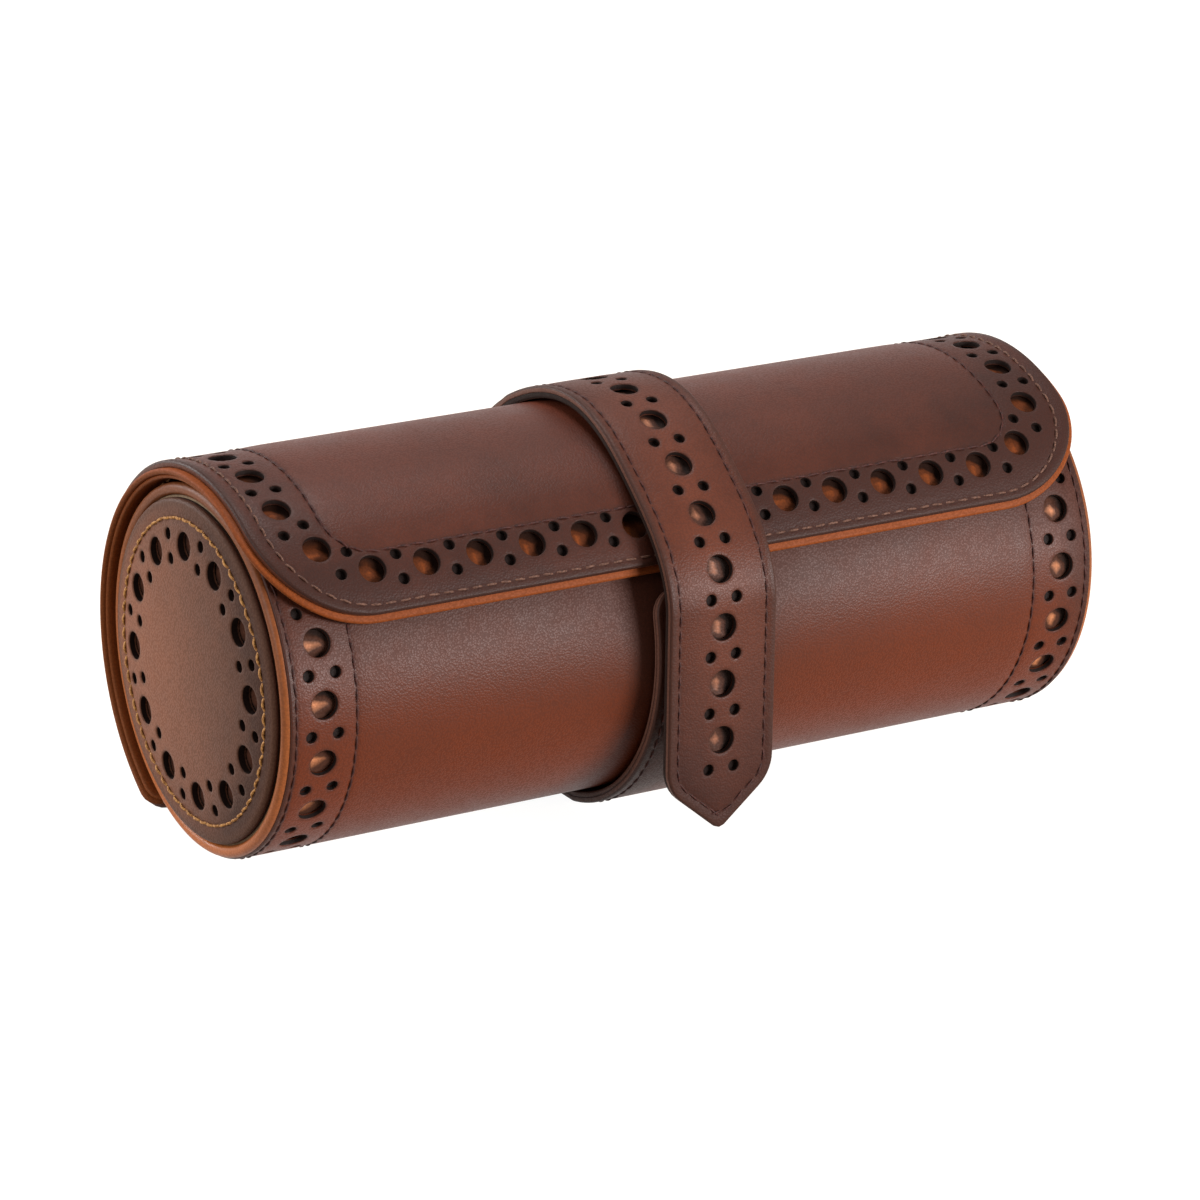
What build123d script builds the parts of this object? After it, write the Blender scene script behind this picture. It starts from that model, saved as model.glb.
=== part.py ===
from build123d import *
import os
from math import ceil, cos, degrees, pi, radians, sin, tan

# Watch roll for three watches: a stiff leather tube with a padded flap that
# wraps over its mouth, a strap that hangs down the front, and three cushions.
# Sizes are in millimetres. +X runs along the roll, -Y is the front, +Z is up.
# The origin is on the surface the roll stands on, under the middle of its axis.
# Angles go round the axis: 0 is the front, 90 the top, 180 the back, 270 the bottom.

# Tube
body_radius = 43.0
body_length = 215.0
cover_thickness = 1.4
backing_thickness = 0.6
board_thickness = 2.6
lining_thickness = 1.0
mouth_front_angle = 80.0
mouth_back_angle = 188.0

# Ends of the tube
end_ring_width = 8.5
end_ring_wall = 1.3
end_lip_thickness = 0.9
end_lip_overlap = 1.4
end_board_thickness = 3.0
end_board_recess = 0.5
end_lining_thickness = 0.8
end_disc_radius = 39.3
end_disc_thickness = 1.5
end_disc_edge_fillet = 0.9

# Flap and the panel behind it
flap_overhang = 2.6
flap_front_angle = 26.0
flap_clearance = 0.65
flap_lining_thickness = 1.0
flap_board_thickness = 1.35
flap_cover_thickness = 1.5
flap_rim_width = 1.7
flap_border_width = 18.0
flap_corner_radius = 27.0
hinge_angle = 190.0
hinge_gap = 0.3
rear_panel_end_angle = 241.0

# Strap and the band under the roll
strap_width = 28.0
strap_offset = -1.2
strap_cover_thickness = 1.4
strap_lining_thickness = 1.4
strap_clearance = 0.3
strap_hinge_angle = 118.0
strap_hang_gap = 1.55
strap_bend_height = 12.4
strap_tip_drop = 41.0
strap_tip_slope = 40.0
strap_tip_fillet = 2.0
strap_shoulder_fillet = 10.0
strap_fold_relief = 5.4
# How far the strap stands off the flap: over the top, where it dips, and at the flap's edge.
strap_top_angle = 80.0
strap_top_rise = 2.35
strap_dip_angle = 50.0
strap_dip_rise = 0.75
strap_edge_rise = 2.9
strap_curve_steps = 24
band_front_angle = 21.0
band_clearance = 0.05
band_backing_thickness = 2.25
band_cover_thickness = 1.4
band_step_start = -101.0
band_step_end = -118.0
band_curve_steps = 60
foot_flat_depth = 0.8

# Magnetic closure
magnet_radius = 6.5
strap_magnet_thickness = 1.2
band_magnet_thickness = 1.8
magnet_clearance = 0.05

# Punched pattern
big_hole_radius = 3.25
small_hole_radius = 1.35
flap_hole_inset = 11.6
flap_hole_corner = 20.0
flap_hole_pitch = 13.37
flap_hole_start = -2.6
flap_pair_offset = 3.0
tube_hole_inset = 9.25
tube_hole_pitch_angle = 18.54
tube_hole_start_angle = 60.9
tube_hole_end_angle = -100.0
tube_pair_offset = 3.3
disc_hole_count = 12
disc_hole_circle = 28.9
disc_hole_start_angle = 5.3
disc_pair_outer_circle = 31.4
disc_pair_inner_circle = 25.8
strap_hole_from_tip = 22.0
strap_hole_pitch = 13.55
strap_hole_count = 9
strap_pair_offset = 3.35

# Dividers and cushions
divider_thickness = 3.0
divider_height = 20.0
divider_clearance = 0.05
cushion_width = 58.0
cushion_depth = 49.6
cushion_side_gap = 3.0
cushion_seat_gap = 0.3
cushion_cover_thickness = 1.2
cushion_end_thickness = 3.0
cushion_end_fillet = 2.2
cushion_names = ["left", "middle", "right"]

# Radii of the layers, worked out from the thicknesses
backing_outer = body_radius - cover_thickness
board_outer = backing_outer - backing_thickness
board_inner = board_outer - board_thickness
well_radius = board_inner - lining_thickness
ring_inner = board_outer - end_ring_wall
flap_inner = body_radius + flap_clearance
flap_board_inner = flap_inner + flap_lining_thickness
flap_cover_inner = flap_board_inner + flap_board_thickness
flap_outer = flap_cover_inner + flap_cover_thickness
strap_thickness = strap_cover_thickness + strap_lining_thickness
band_cover_inner = body_radius + band_backing_thickness
band_outer = band_cover_inner + band_cover_thickness
strap_rear_outer = flap_outer + strap_thickness
strap_hinge_radius = strap_rear_outer + strap_clearance
strap_hang_front = band_outer + strap_hang_gap + strap_thickness

# Places worked out from the sizes
axis_height = band_outer - foot_flat_depth
body_half = body_length / 2
lip_inner_face = body_half - end_lip_thickness
ring_inner_face = body_half - end_ring_width
end_board_outer_face = body_half - end_board_recess
end_board_inner_face = end_board_outer_face - end_board_thickness
end_lining_face = end_board_inner_face - end_lining_thickness
flap_half = body_half + flap_overhang
mouth_angle = (mouth_front_angle + mouth_back_angle) / 2
strap_left = strap_offset - strap_width / 2
strap_right = strap_offset + strap_width / 2
hinge_gap_angle = degrees(hinge_gap / flap_outer)
fold_relief_angle = degrees(strap_fold_relief / flap_outer)
strap_gap_angle = degrees(strap_clearance / strap_hinge_radius)
well_pitch = (2 * ring_inner_face + divider_thickness) / 3
cushion_length = well_pitch - divider_thickness - 2 * cushion_side_gap

# Reach that takes a cutting tool through a whole layer or through the whole roll
through = 6.0
beyond = 4 * body_radius


def around(angle):
    """Direction out from the axis at an angle round the roll."""
    return Vector(0, -cos(radians(angle)), sin(radians(angle)))


def place(x, radius, angle):
    """Point of the roll at a distance along it, a radius and an angle."""
    return Vector(x, 0, axis_height) + around(angle) * radius


def arc(x, radius, start, end):
    """Arc round the axis between two angles, in the section at x."""
    middle = (start + end) / 2
    return ThreePointArc(place(x, radius, start), place(x, radius, middle), place(x, radius, end))


def shell(inner, outer, start, end, x_from, x_to):
    """Curved panel between two radii and two angles, from one x to another."""
    edges = [
        arc(x_from, outer, start, end),
        Line(place(x_from, outer, end), place(x_from, inner, end)),
        arc(x_from, inner, end, start),
        Line(place(x_from, inner, start), place(x_from, outer, start)),
    ]
    return extrude(Face(Wire(edges)), amount=x_to - x_from, dir=(1, 0, 0))


def drum(radius, x_from, x_to):
    """Solid cylinder on the roll's axis."""
    plane = Plane(origin=(x_from, 0, axis_height), x_dir=(0, 1, 0), z_dir=(1, 0, 0))
    return plane * Cylinder(radius, x_to - x_from, align=(Align.CENTER, Align.CENTER, Align.MIN))


def ring(inner, outer, x_from, x_to):
    """Full ring on the roll's axis."""
    return drum(outer, x_from, x_to) - drum(inner, x_from, x_to)


def mouth_tool():
    """Wedge that opens the tube's mouth between the two end rings."""
    angles = (mouth_front_angle, mouth_back_angle)
    return shell(well_radius / 2, beyond, *angles, -ring_inner_face, ring_inner_face)


def mirrored(part):
    """The same piece at the other end of the roll."""
    return mirror(part, about=Plane.YZ)


def radial_hole(x, radius, angle, hole_radius):
    """Punch that goes through a layer, square to its surface."""
    plane = Plane(origin=place(x, radius, angle), x_dir=(1, 0, 0), z_dir=around(angle))
    return plane * Cylinder(hole_radius, through)


def save(part, name):
    """Write one piece to its own file."""
    export_step(part, "parts/" + name + ".step")


# Tube

def body_board():
    """Stiff tube with its mouth cut out and its ends stepped down for the end rings."""
    tube = ring(board_inner, ring_inner, -end_board_inner_face, end_board_inner_face)
    tube = tube + ring(board_inner, board_outer, -ring_inner_face, ring_inner_face)
    return tube - mouth_tool()


def body_lining():
    """Soft lining of the tube, with the same mouth."""
    return ring(well_radius, board_inner, -end_lining_face, end_lining_face) - mouth_tool()


def body_wrap(inner, outer):
    """One leather layer from the mouth's back edge under the roll to its front edge."""
    start = mouth_back_angle - 360
    return shell(inner, outer, start, mouth_front_angle, -lip_inner_face, lip_inner_face)


def tube_holes():
    """Punches of the pattern round both ends of the tube."""
    holes = []
    row = body_half - tube_hole_inset
    angle = tube_hole_start_angle
    while angle > tube_hole_end_angle:
        pair_angle = angle - tube_hole_pitch_angle / 2
        for side in (-1, 1):
            holes.append(radial_hole(side * row, body_radius, angle, big_hole_radius))
            for offset in (-tube_pair_offset, tube_pair_offset):
                holes.append(radial_hole(side * (row + offset), body_radius, pair_angle, small_hole_radius))
        angle = angle - tube_hole_pitch_angle
    return holes


def body_cover():
    """Outer leather of the tube, punched near both ends down to the backing."""
    cover = body_wrap(backing_outer, body_radius)
    tools = [hole & ring(backing_outer, beyond, -body_half, body_half) for hole in tube_holes()]
    return cover - tools


# Ends

def end_ring():
    """Turned leather edge: a wall inside the tube's cover and a lip over its end."""
    wall = ring(ring_inner, board_outer, ring_inner_face, lip_inner_face)
    lip = ring(ring_inner, board_outer + end_lip_overlap, lip_inner_face, body_half)
    rim = lip.edges().filter_by(GeomType.CIRCLE).sort_by(Axis.X)[-2:]
    return wall + fillet(rim, end_lip_thickness * 0.5)


def end_disc():
    """Leather disc on the end, punched with a ring of holes."""
    start = end_board_outer_face + backing_thickness
    disc = drum(end_disc_radius, start, start + end_disc_thickness)
    outer_edge = disc.edges().filter_by(GeomType.CIRCLE).sort_by(Axis.X)[-1]
    disc = fillet(outer_edge, end_disc_edge_fillet)
    step = 360 / disc_hole_count
    for number in range(disc_hole_count):
        angle = disc_hole_start_angle + number * step
        disc = disc - disc_punch(disc_hole_circle, angle, big_hole_radius)
        for circle in (disc_pair_inner_circle, disc_pair_outer_circle):
            disc = disc - disc_punch(circle, angle + step / 2, small_hole_radius)
    return disc


def disc_punch(circle, angle, hole_radius):
    """Punch through the end disc, along the roll."""
    centre = place(end_board_outer_face + backing_thickness, circle, angle)
    return Location(centre) * Rotation(0, 90, 0) * Cylinder(hole_radius, through)


# Flap, and the panel behind it

def flap_panel(inner, outer, inset):
    """One layer of the flap, from its hinge to its front edge, with rounded corners."""
    half = flap_half - inset
    front = flap_front_angle + degrees(inset / flap_outer)
    panel = shell(inner, outer, front, hinge_angle - hinge_gap_angle, -half, half)
    corner = corner_tool(half, front, flap_corner_radius - inset)
    return panel - corner - mirrored(corner)


def corner_tool(half, front, radius):
    """Waste outside a rounded front corner, cut square to the middle of the corner."""
    middle = front + degrees(radius / flap_outer) / 2
    reach = flap_outer * sin(radians(middle - front))
    plane = Plane(origin=place(0, 0, middle), x_dir=(1, 0, 0), z_dir=around(middle))
    across = half - radius
    waste = Pos(across + radius, radius - reach - radius) * Rectangle(2 * radius, 2 * radius)
    waste = waste - Pos(across, radius - reach) * Circle(radius)
    waste = waste - Pos(across, 2 * radius - reach) * Rectangle(4 * radius, 2 * radius)
    return plane * extrude(waste, amount=beyond)


def flap_row():
    """Places of the flap's big holes and of the pairs between them: x, angle and edge direction."""
    straight = flap_half - flap_hole_inset - flap_hole_corner
    corner_length = flap_hole_corner * pi / 2
    front = flap_front_angle + degrees(flap_hole_inset / flap_outer)
    side_length = radians(hinge_angle - front) * flap_outer - flap_hole_corner - flap_hole_inset
    total = straight + corner_length + side_length
    half_pitch = flap_hole_pitch / 2
    first = -ceil((total - half_pitch + flap_hole_start) / half_pitch)
    places = []
    for number in range(first, -first):
        length = flap_hole_start + number * half_pitch
        if abs(length) > total:
            continue
        side = 1 if length > 0 else -1
        past = abs(length) - straight
        if past <= 0:
            x, up, turn = length, 0.0, 0.0
        elif past < corner_length:
            turn = past / flap_hole_corner
            x = side * (straight + flap_hole_corner * sin(turn))
            up = flap_hole_corner * (1 - cos(turn))
        else:
            turn = pi / 2
            x = side * (straight + flap_hole_corner)
            up = flap_hole_corner + past - corner_length
        places.append((number % 2 == 0, x, front + degrees(up / flap_outer), side * turn))
    return places


def flap_holes():
    """Punches of the pattern along the flap's edges."""
    holes = []
    for is_big, x, angle, turn in flap_row():
        if is_big:
            holes.append(radial_hole(x, flap_outer, angle, big_hole_radius))
            continue
        for offset in (-flap_pair_offset, flap_pair_offset):
            pair_x = x + offset * sin(turn)
            pair_angle = angle - degrees(offset * cos(turn) / flap_outer)
            holes.append(radial_hole(pair_x, flap_outer, pair_angle, small_hole_radius))
    return holes


def flap_cover():
    """Outer leather of the flap, punched down to the border behind it."""
    cover = flap_panel(flap_cover_inner, flap_outer, flap_rim_width)
    limit = ring(flap_cover_inner, beyond, -flap_half, flap_half)
    return cover - [hole & limit for hole in flap_holes()]


def flap_border():
    """Tan leather frame that makes the flap's rim and shows through the holes."""
    frame = flap_panel(flap_board_inner, flap_cover_inner, 0)
    return frame - flap_panel(flap_board_inner - 1, flap_cover_inner + 1, flap_border_width)


def flap_board():
    """Stiff curved board inside the border."""
    return flap_panel(flap_board_inner, flap_cover_inner, flap_border_width)


def rear_panel(inner, outer, half):
    """One layer of the fixed panel that carries the flap on the back of the tube."""
    return shell(inner, outer, hinge_angle + hinge_gap_angle, rear_panel_end_angle, -half, half)


# Band and strap

def band_radius(face, angle):
    """Radius of a face of the band, which steps out from the tube onto the rear panel."""
    front_radius, back_radius = face
    share = (band_step_start - angle) / (band_step_start - band_step_end)
    share = min(1.0, max(0.0, share))
    return front_radius + (back_radius - front_radius) * share * share * (3 - 2 * share)


def band_layer(inner_face, outer_face):
    """One layer of the band, from its front end under the roll and up the back."""
    start = hinge_angle - 360 + fold_relief_angle
    step = (band_front_angle - start) / band_curve_steps
    angles = [start + number * step for number in range(band_curve_steps + 1)]
    outer_curve = Spline([place(strap_left, band_radius(outer_face, angle), angle) for angle in angles])
    inner_curve = Spline([place(strap_left, band_radius(inner_face, angle), angle) for angle in angles])
    ends = [Line(outer_curve @ 0, inner_curve @ 0), Line(outer_curve @ 1, inner_curve @ 1)]
    layer = extrude(Face(Wire([outer_curve, inner_curve] + ends)), amount=strap_width, dir=(1, 0, 0))
    return layer - floor_tool()


def floor_tool():
    """Everything below the surface that the roll stands on."""
    return Pos(0, 0, -beyond / 2) * Box(2 * beyond, 2 * beyond, beyond)


def strap_curve(inset):
    """Face of the free strap at a depth under its outer face, in the section at x = 0."""
    start = strap_hinge_angle - strap_gap_angle
    rises = [
        (start, strap_clearance),
        ((start + strap_top_angle) / 2, (strap_clearance + strap_top_rise) / 2),
        (strap_top_angle, strap_top_rise),
        ((strap_top_angle + strap_dip_angle) / 2, (strap_top_rise + strap_dip_rise) / 2),
        (strap_dip_angle, strap_dip_rise),
        (flap_front_angle, strap_edge_rise),
    ]
    points = [place(0, strap_rear_outer + rise, angle) for angle, rise in rises]
    points.append(Vector(0, -strap_hang_front, axis_height + strap_bend_height))
    first = around(start - 90)
    outer = Spline(points, tangents=[first, (0, 0, -1)])
    if inset == 0:
        return outer
    moved = []
    for number in range(strap_curve_steps + 1):
        share = number / strap_curve_steps
        tangent = outer % share
        inward = Vector(0, -tangent.Z, tangent.Y)
        moved.append(outer @ share + inward * inset)
    return Spline(moved, tangents=[first, (0, 0, -1)])


def strap_layer(outer_inset, inner_inset):
    """One layer of the free strap, with its pointed end."""
    outer_curve = strap_curve(outer_inset)
    inner_curve = strap_curve(inner_inset)
    tip = Vector(0, 0, axis_height - strap_tip_drop)
    outer_foot = tip - Vector(0, strap_hang_front - outer_inset, 0)
    inner_foot = tip - Vector(0, strap_hang_front - inner_inset, 0)
    edges = [
        outer_curve,
        Line(outer_curve @ 1, outer_foot),
        Line(outer_foot, inner_foot),
        Line(inner_foot, inner_curve @ 1),
        inner_curve,
        Line(inner_curve @ 0, outer_curve @ 0),
    ]
    section = Pos(strap_left, 0, 0) * Face(Wire(edges))
    return extrude(section, amount=strap_width, dir=(1, 0, 0)) & strap_outline()


def strap_outline():
    """Outline of the strap seen from the front: a pointed tip under two rounded shoulders."""
    tip = axis_height - strap_tip_drop
    half = strap_width / 2
    shoulder = tip + half * tan(radians(strap_tip_slope))
    sides = Polyline((0, tip), (half, shoulder), (half, beyond), (-half, beyond), (-half, shoulder), (0, tip))
    outline = make_face(sides)
    shoulders = outline.vertices().sort_by(Axis.Y)[1:3]
    outline = fillet(shoulders, strap_shoulder_fillet)
    point = outline.vertices().sort_by(Axis.Y)[0]
    outline = fillet(point, strap_tip_fillet)
    plane = Plane(origin=(strap_offset, 0, 0), x_dir=(1, 0, 0), z_dir=(0, -1, 0))
    return extrude(plane * outline, amount=beyond, both=True)


def strap_punch(path, length, offset, hole_radius):
    """Punch square to the strap's outer face, at a length along it from the hinge."""
    share = length / path.length
    tangent = path % share
    outward = Vector(0, tangent.Z, -tangent.Y)
    centre = (path @ share) + Vector(strap_offset + offset, 0, 0)
    punch = Cylinder(hole_radius, 2 * strap_cover_thickness)
    return Plane(origin=centre, x_dir=(1, 0, 0), z_dir=outward) * punch


def strap_cover():
    """Outer leather of the free strap, punched along its middle."""
    layer = strap_layer(0, strap_cover_thickness)
    curve = strap_curve(0)
    foot = Vector(0, -strap_hang_front, axis_height - strap_tip_drop)
    path = Wire([curve, Line(curve @ 1, foot)])
    punches = []
    for number in range(strap_hole_count):
        length = path.length - strap_hole_from_tip - number * strap_hole_pitch
        punches.append(strap_punch(path, length, 0, big_hole_radius))
        for offset in (-strap_pair_offset, strap_pair_offset):
            pair_length = length + strap_hole_pitch / 2
            punches.append(strap_punch(path, pair_length, offset, small_hole_radius))
    return layer - punches


def magnet(front, thickness, radius):
    """Disc that faces the front, at the height of the axis."""
    plane = Plane(origin=(strap_offset, -front, axis_height), x_dir=(1, 0, 0), z_dir=(0, 1, 0))
    return plane * Cylinder(radius, thickness, align=(Align.CENTER, Align.CENTER, Align.MIN))


# Dividers and cushions

def mouth_plane(x, height):
    """Plane square to the way out of the mouth, at a height along it."""
    direction = around(mouth_angle)
    return Plane(origin=place(x, height, mouth_angle), x_dir=(1, 0, 0), z_dir=direction)


def divider(x):
    """Padded wall between two wells, cut off below the mouth."""
    half = divider_thickness / 2
    wall = drum(well_radius - divider_clearance, x - half, x + half)
    waste = Box(2 * divider_thickness, beyond, beyond, align=(Align.CENTER, Align.CENTER, Align.MIN))
    return wall - mouth_plane(x, divider_height) * waste


def cushion_oval(x, inset):
    """Oval section of a cushion, seated at the bottom of its well."""
    height = cushion_depth / 2 - well_radius + cushion_seat_gap
    across = around(mouth_angle - 90)
    centre = place(x, height, mouth_angle)
    plane = Plane(origin=centre, x_dir=across, z_dir=(1, 0, 0))
    return plane * Ellipse(cushion_width / 2 - inset, cushion_depth / 2 - inset)


def cushion_core(x):
    """Foam block inside the cushion's sleeve."""
    half = cushion_length / 2 - cushion_end_thickness
    return extrude(cushion_oval(x - half, cushion_cover_thickness), amount=2 * half, dir=(1, 0, 0))


def cushion_cover(x):
    """Sleeve sewn round the foam."""
    half = cushion_length / 2 - cushion_end_thickness
    return extrude(cushion_oval(x - half, 0), amount=2 * half, dir=(1, 0, 0)) - cushion_core(x)


def cushion_ends(x):
    """Two padded end panels, rounded to the sleeve."""
    half = cushion_length / 2 - cushion_end_thickness
    end = extrude(cushion_oval(x + half, 0), amount=cushion_end_thickness, dir=(1, 0, 0))
    edge = end.edges().sort_by(Axis.X)[-1]
    end = fillet(edge, cushion_end_fillet)
    other = mirror(end, about=Plane(origin=(x, 0, 0), z_dir=(1, 0, 0)))
    return Compound(children=[end, other])


os.makedirs("parts", exist_ok=True)

save(body_board(), "body_board")
save(body_lining(), "body_lining")
save(body_wrap(board_outer, backing_outer), "body_backing")
save(body_cover(), "body_cover")

end_pieces = {
    "end_ring": end_ring(),
    "end_board": drum(ring_inner, end_board_inner_face, end_board_outer_face),
    "end_backing": drum(end_disc_radius, end_board_outer_face, end_board_outer_face + backing_thickness),
    "end_disc": end_disc(),
    "end_lining": drum(board_inner, end_lining_face, end_board_inner_face),
}
for end_name, end_piece in end_pieces.items():
    save(mirrored(end_piece), end_name + "_left")
    save(end_piece, end_name + "_right")

save(divider(-well_pitch / 2), "divider_left")
save(divider(well_pitch / 2), "divider_right")

save(rear_panel(body_radius, flap_cover_inner, flap_half), "rear_lining")
save(rear_panel(flap_cover_inner, flap_outer, flap_half - flap_rim_width), "rear_cover")

save(flap_panel(flap_inner, flap_board_inner, 0), "flap_lining")
save(flap_border(), "flap_border")
save(flap_board(), "flap_board")
save(flap_cover(), "flap_cover")

strap_rear_span = (strap_hinge_angle, hinge_angle - fold_relief_angle, strap_left, strap_right)
strap_rear_middle = flap_outer + strap_lining_thickness
save(shell(strap_rear_middle, strap_rear_outer, *strap_rear_span), "strap_rear_cover")
save(shell(flap_outer, strap_rear_middle, *strap_rear_span), "strap_rear_lining")

strap_back = strap_hang_front - strap_thickness
strap_magnet_pocket = magnet(strap_back + strap_magnet_thickness, 2 * strap_magnet_thickness,
                             magnet_radius + magnet_clearance)
save(strap_cover(), "strap_cover")
save(strap_layer(strap_cover_thickness, strap_thickness) - strap_magnet_pocket, "strap_lining")
save(magnet(strap_back + strap_magnet_thickness, strap_magnet_thickness, magnet_radius), "strap_magnet")

band_magnet_pocket = magnet(band_outer + through, through + band_magnet_thickness,
                            magnet_radius + magnet_clearance)
band_inner_face = (body_radius + band_clearance, flap_outer + band_clearance)
band_middle_face = (band_cover_inner, strap_rear_middle)
band_outer_face = (band_outer, strap_rear_outer)
save(band_layer(band_inner_face, band_middle_face) - band_magnet_pocket, "band_backing")
save(band_layer(band_middle_face, band_outer_face) - band_magnet_pocket, "band_cover")
save(magnet(band_outer, band_magnet_thickness, magnet_radius), "band_magnet")

for number, cushion_name in enumerate(cushion_names):
    cushion_x = (number - 1) * well_pitch
    save(cushion_cover(cushion_x), "cushion_" + cushion_name + "_cover")
    save(cushion_core(cushion_x), "cushion_" + cushion_name + "_core")
    save(cushion_ends(cushion_x), "cushion_" + cushion_name + "_ends")
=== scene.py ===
"""Dresses the watch roll: punched and burnished leather over a tube, a flap, a strap and cushions."""
import logging
import math
from dataclasses import dataclass, field
from enum import Enum
from typing import Callable, Optional, Sequence

import bmesh
import bpy
import numpy as np
from mathutils import Matrix, Vector
from mathutils.geometry import delaunay_2d_cdt
from mathutils.kdtree import KDTree


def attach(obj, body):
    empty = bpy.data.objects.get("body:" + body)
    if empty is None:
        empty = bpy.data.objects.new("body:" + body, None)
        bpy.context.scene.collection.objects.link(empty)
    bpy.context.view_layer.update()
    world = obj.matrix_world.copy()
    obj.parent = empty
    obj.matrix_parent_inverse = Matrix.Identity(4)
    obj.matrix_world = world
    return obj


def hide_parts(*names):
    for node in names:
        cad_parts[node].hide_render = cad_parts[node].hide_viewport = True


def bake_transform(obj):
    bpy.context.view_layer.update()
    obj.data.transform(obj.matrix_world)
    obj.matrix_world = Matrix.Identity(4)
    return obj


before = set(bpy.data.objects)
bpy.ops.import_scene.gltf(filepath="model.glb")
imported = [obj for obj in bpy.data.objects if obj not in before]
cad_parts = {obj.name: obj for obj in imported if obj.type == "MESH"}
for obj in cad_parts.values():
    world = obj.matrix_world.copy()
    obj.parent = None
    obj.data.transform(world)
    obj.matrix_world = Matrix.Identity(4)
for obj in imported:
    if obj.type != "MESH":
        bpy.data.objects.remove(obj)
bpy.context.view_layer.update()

log = logging.getLogger("watch_roll")

Array = np.ndarray
Colour = tuple[float, float, float]
Place = tuple[float, float, float]
Pair = tuple[float, float]
Relief = Callable[[Array, Array], Array]
Tone = Callable[[Array], Array]

# Lengths are in millimetres and the hinge's angle in degrees.
MM = 0.001
AXIS_HEIGHT = 45.85
BODY_RADIUS = 43.0
BODY_HALF = 107.5
HINGE_ANGLE = 190.0
STRAP_CENTRE = -1.2
STRAP_HALF = 14.0
WRAP_RADIUS = 47.5
WELL_PITCH = 67.0
PUNCH_RADIUS, PUNCH_PARTS = 3.25, 32
PIN_RADIUS, PIN_PARTS = 1.35, 20
SEAM_STEP = 1.2
CLOSEST = 0.05
FAR = 50.0
PLAIN_TONE = 0.35
DISH_RADIUS, DISH_WALL = 2.6, 1.6
# Offset of the painted light spot in the backing seen through each large punch.
PAINTED_LIGHT_SPOT = (-0.7, -0.35)
THREAD_RISE = 1.9
THREAD_LEAN = 0.09


# Shader maths
class Signal:
    """Socket of a material whose operators add Math nodes."""

    def __init__(self, graph: "Graph", socket: bpy.types.NodeSocket) -> None:
        """Wraps an output socket of a graph."""
        self.graph = graph
        self.socket = socket

    def _math(self, operation: str, first: object, second: object = None, clamp: bool = False) -> "Signal":
        """Adds one Math node.

        Args:
            operation: Blender's name of the operation.
            first: First number or signal.
            second: Second number or signal, where there is one.
            clamp: Whether the result is held between 0 and 1.

        Returns:
            The node's result.
        """
        sockets = {0: first} if second is None else {0: first, 1: second}
        settings = {"operation": operation, "use_clamp": clamp}
        return Signal(self.graph, self.graph.node("ShaderNodeMath", settings, sockets).outputs[0])

    def __add__(self, other: object) -> "Signal":
        """Sum with a number or signal."""
        return self._math("ADD", self, other)

    def __sub__(self, other: object) -> "Signal":
        """Difference from a number or signal."""
        return self._math("SUBTRACT", self, other)

    def __rsub__(self, other: object) -> "Signal":
        """A number less this signal."""
        return self._math("SUBTRACT", other, self)

    def __mul__(self, other: object) -> "Signal":
        """Product with a number or signal."""
        return self._math("MULTIPLY", self, other)

    __radd__ = __add__
    __rmul__ = __mul__

    def held(self) -> "Signal":
        """The signal between 0 and 1."""
        return self._math("ADD", self, 0.0, clamp=True)

    def ramp(self, start: float, end: float, low: float = 0.0, high: float = 1.0) -> "Signal":
        """Smooth step from low at start to high at end.

        Args:
            start: Value where the result is low.
            end: Value where the result is high.
            low: Result before start.
            high: Result after end.

        Returns:
            The stepped signal.
        """
        settings = {"interpolation_type": "SMOOTHSTEP"}
        if start > end:
            start, end, low, high = end, start, high, low
        sockets = {"Value": self, "From Min": start, "From Max": end, "To Min": low, "To Max": high}
        return Signal(self.graph, self.graph.node("ShaderNodeMapRange", settings, sockets).outputs["Result"])


class Graph:
    """Node tree that is filled node by node."""

    def __init__(self, tree: bpy.types.NodeTree) -> None:
        """Empties the tree of a material, of the world or of a modifier."""
        self.tree = tree
        self.tree.nodes.clear()

    def node(self, kind: str, settings: dict, sockets: dict) -> bpy.types.Node:
        """Adds a node.

        Args:
            kind: Blender's type of the node.
            settings: Properties, set first.
            sockets: Values or links, by identifier, name or number.

        Returns:
            The new node.
        """
        made = self.tree.nodes.new(kind)
        for key, value in settings.items():
            setattr(made, key, value)
        for key, value in sockets.items():
            self._feed(self._socket(made, key), value)
        return made

    @staticmethod
    def _socket(made: bpy.types.Node, key: object) -> bpy.types.NodeSocket:
        """Finds an input.

        Args:
            made: Node that has it.
            key: Its number, identifier or name.

        Returns:
            The input.
        """
        if isinstance(key, int):
            return made.inputs[key]
        for socket in made.inputs:
            if socket.identifier == key:
                return socket
        return made.inputs[key]

    def _feed(self, socket: bpy.types.NodeSocket, value: object) -> None:
        """Links an input or sets its value.

        Args:
            socket: The input.
            value: Signal, output, colour or plain value.
        """
        if isinstance(value, Signal):
            self.tree.links.new(value.socket, socket)
        elif isinstance(value, bpy.types.NodeSocket):
            self.tree.links.new(value, socket)
        elif isinstance(value, tuple) and len(value) == 3 and socket.type == "RGBA":
            socket.default_value = (*value, 1.0)
        else:
            socket.default_value = value

    def seen(self) -> bpy.types.NodeSocket:
        """Gives 1 to camera, glossy and transmission rays and 0 to all others.

        Returns:
            The output with that number.
        """
        path = self.node("ShaderNodeLightPath", {}, {})
        share = path.outputs["Is Camera Ray"]
        for ray in ("Is Glossy Ray", "Is Transmission Ray"):
            either = self.node("ShaderNodeMath", {"operation": "MAXIMUM"}, {0: share, 1: path.outputs[ray]})
            share = either.outputs[0]
        return share


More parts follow.
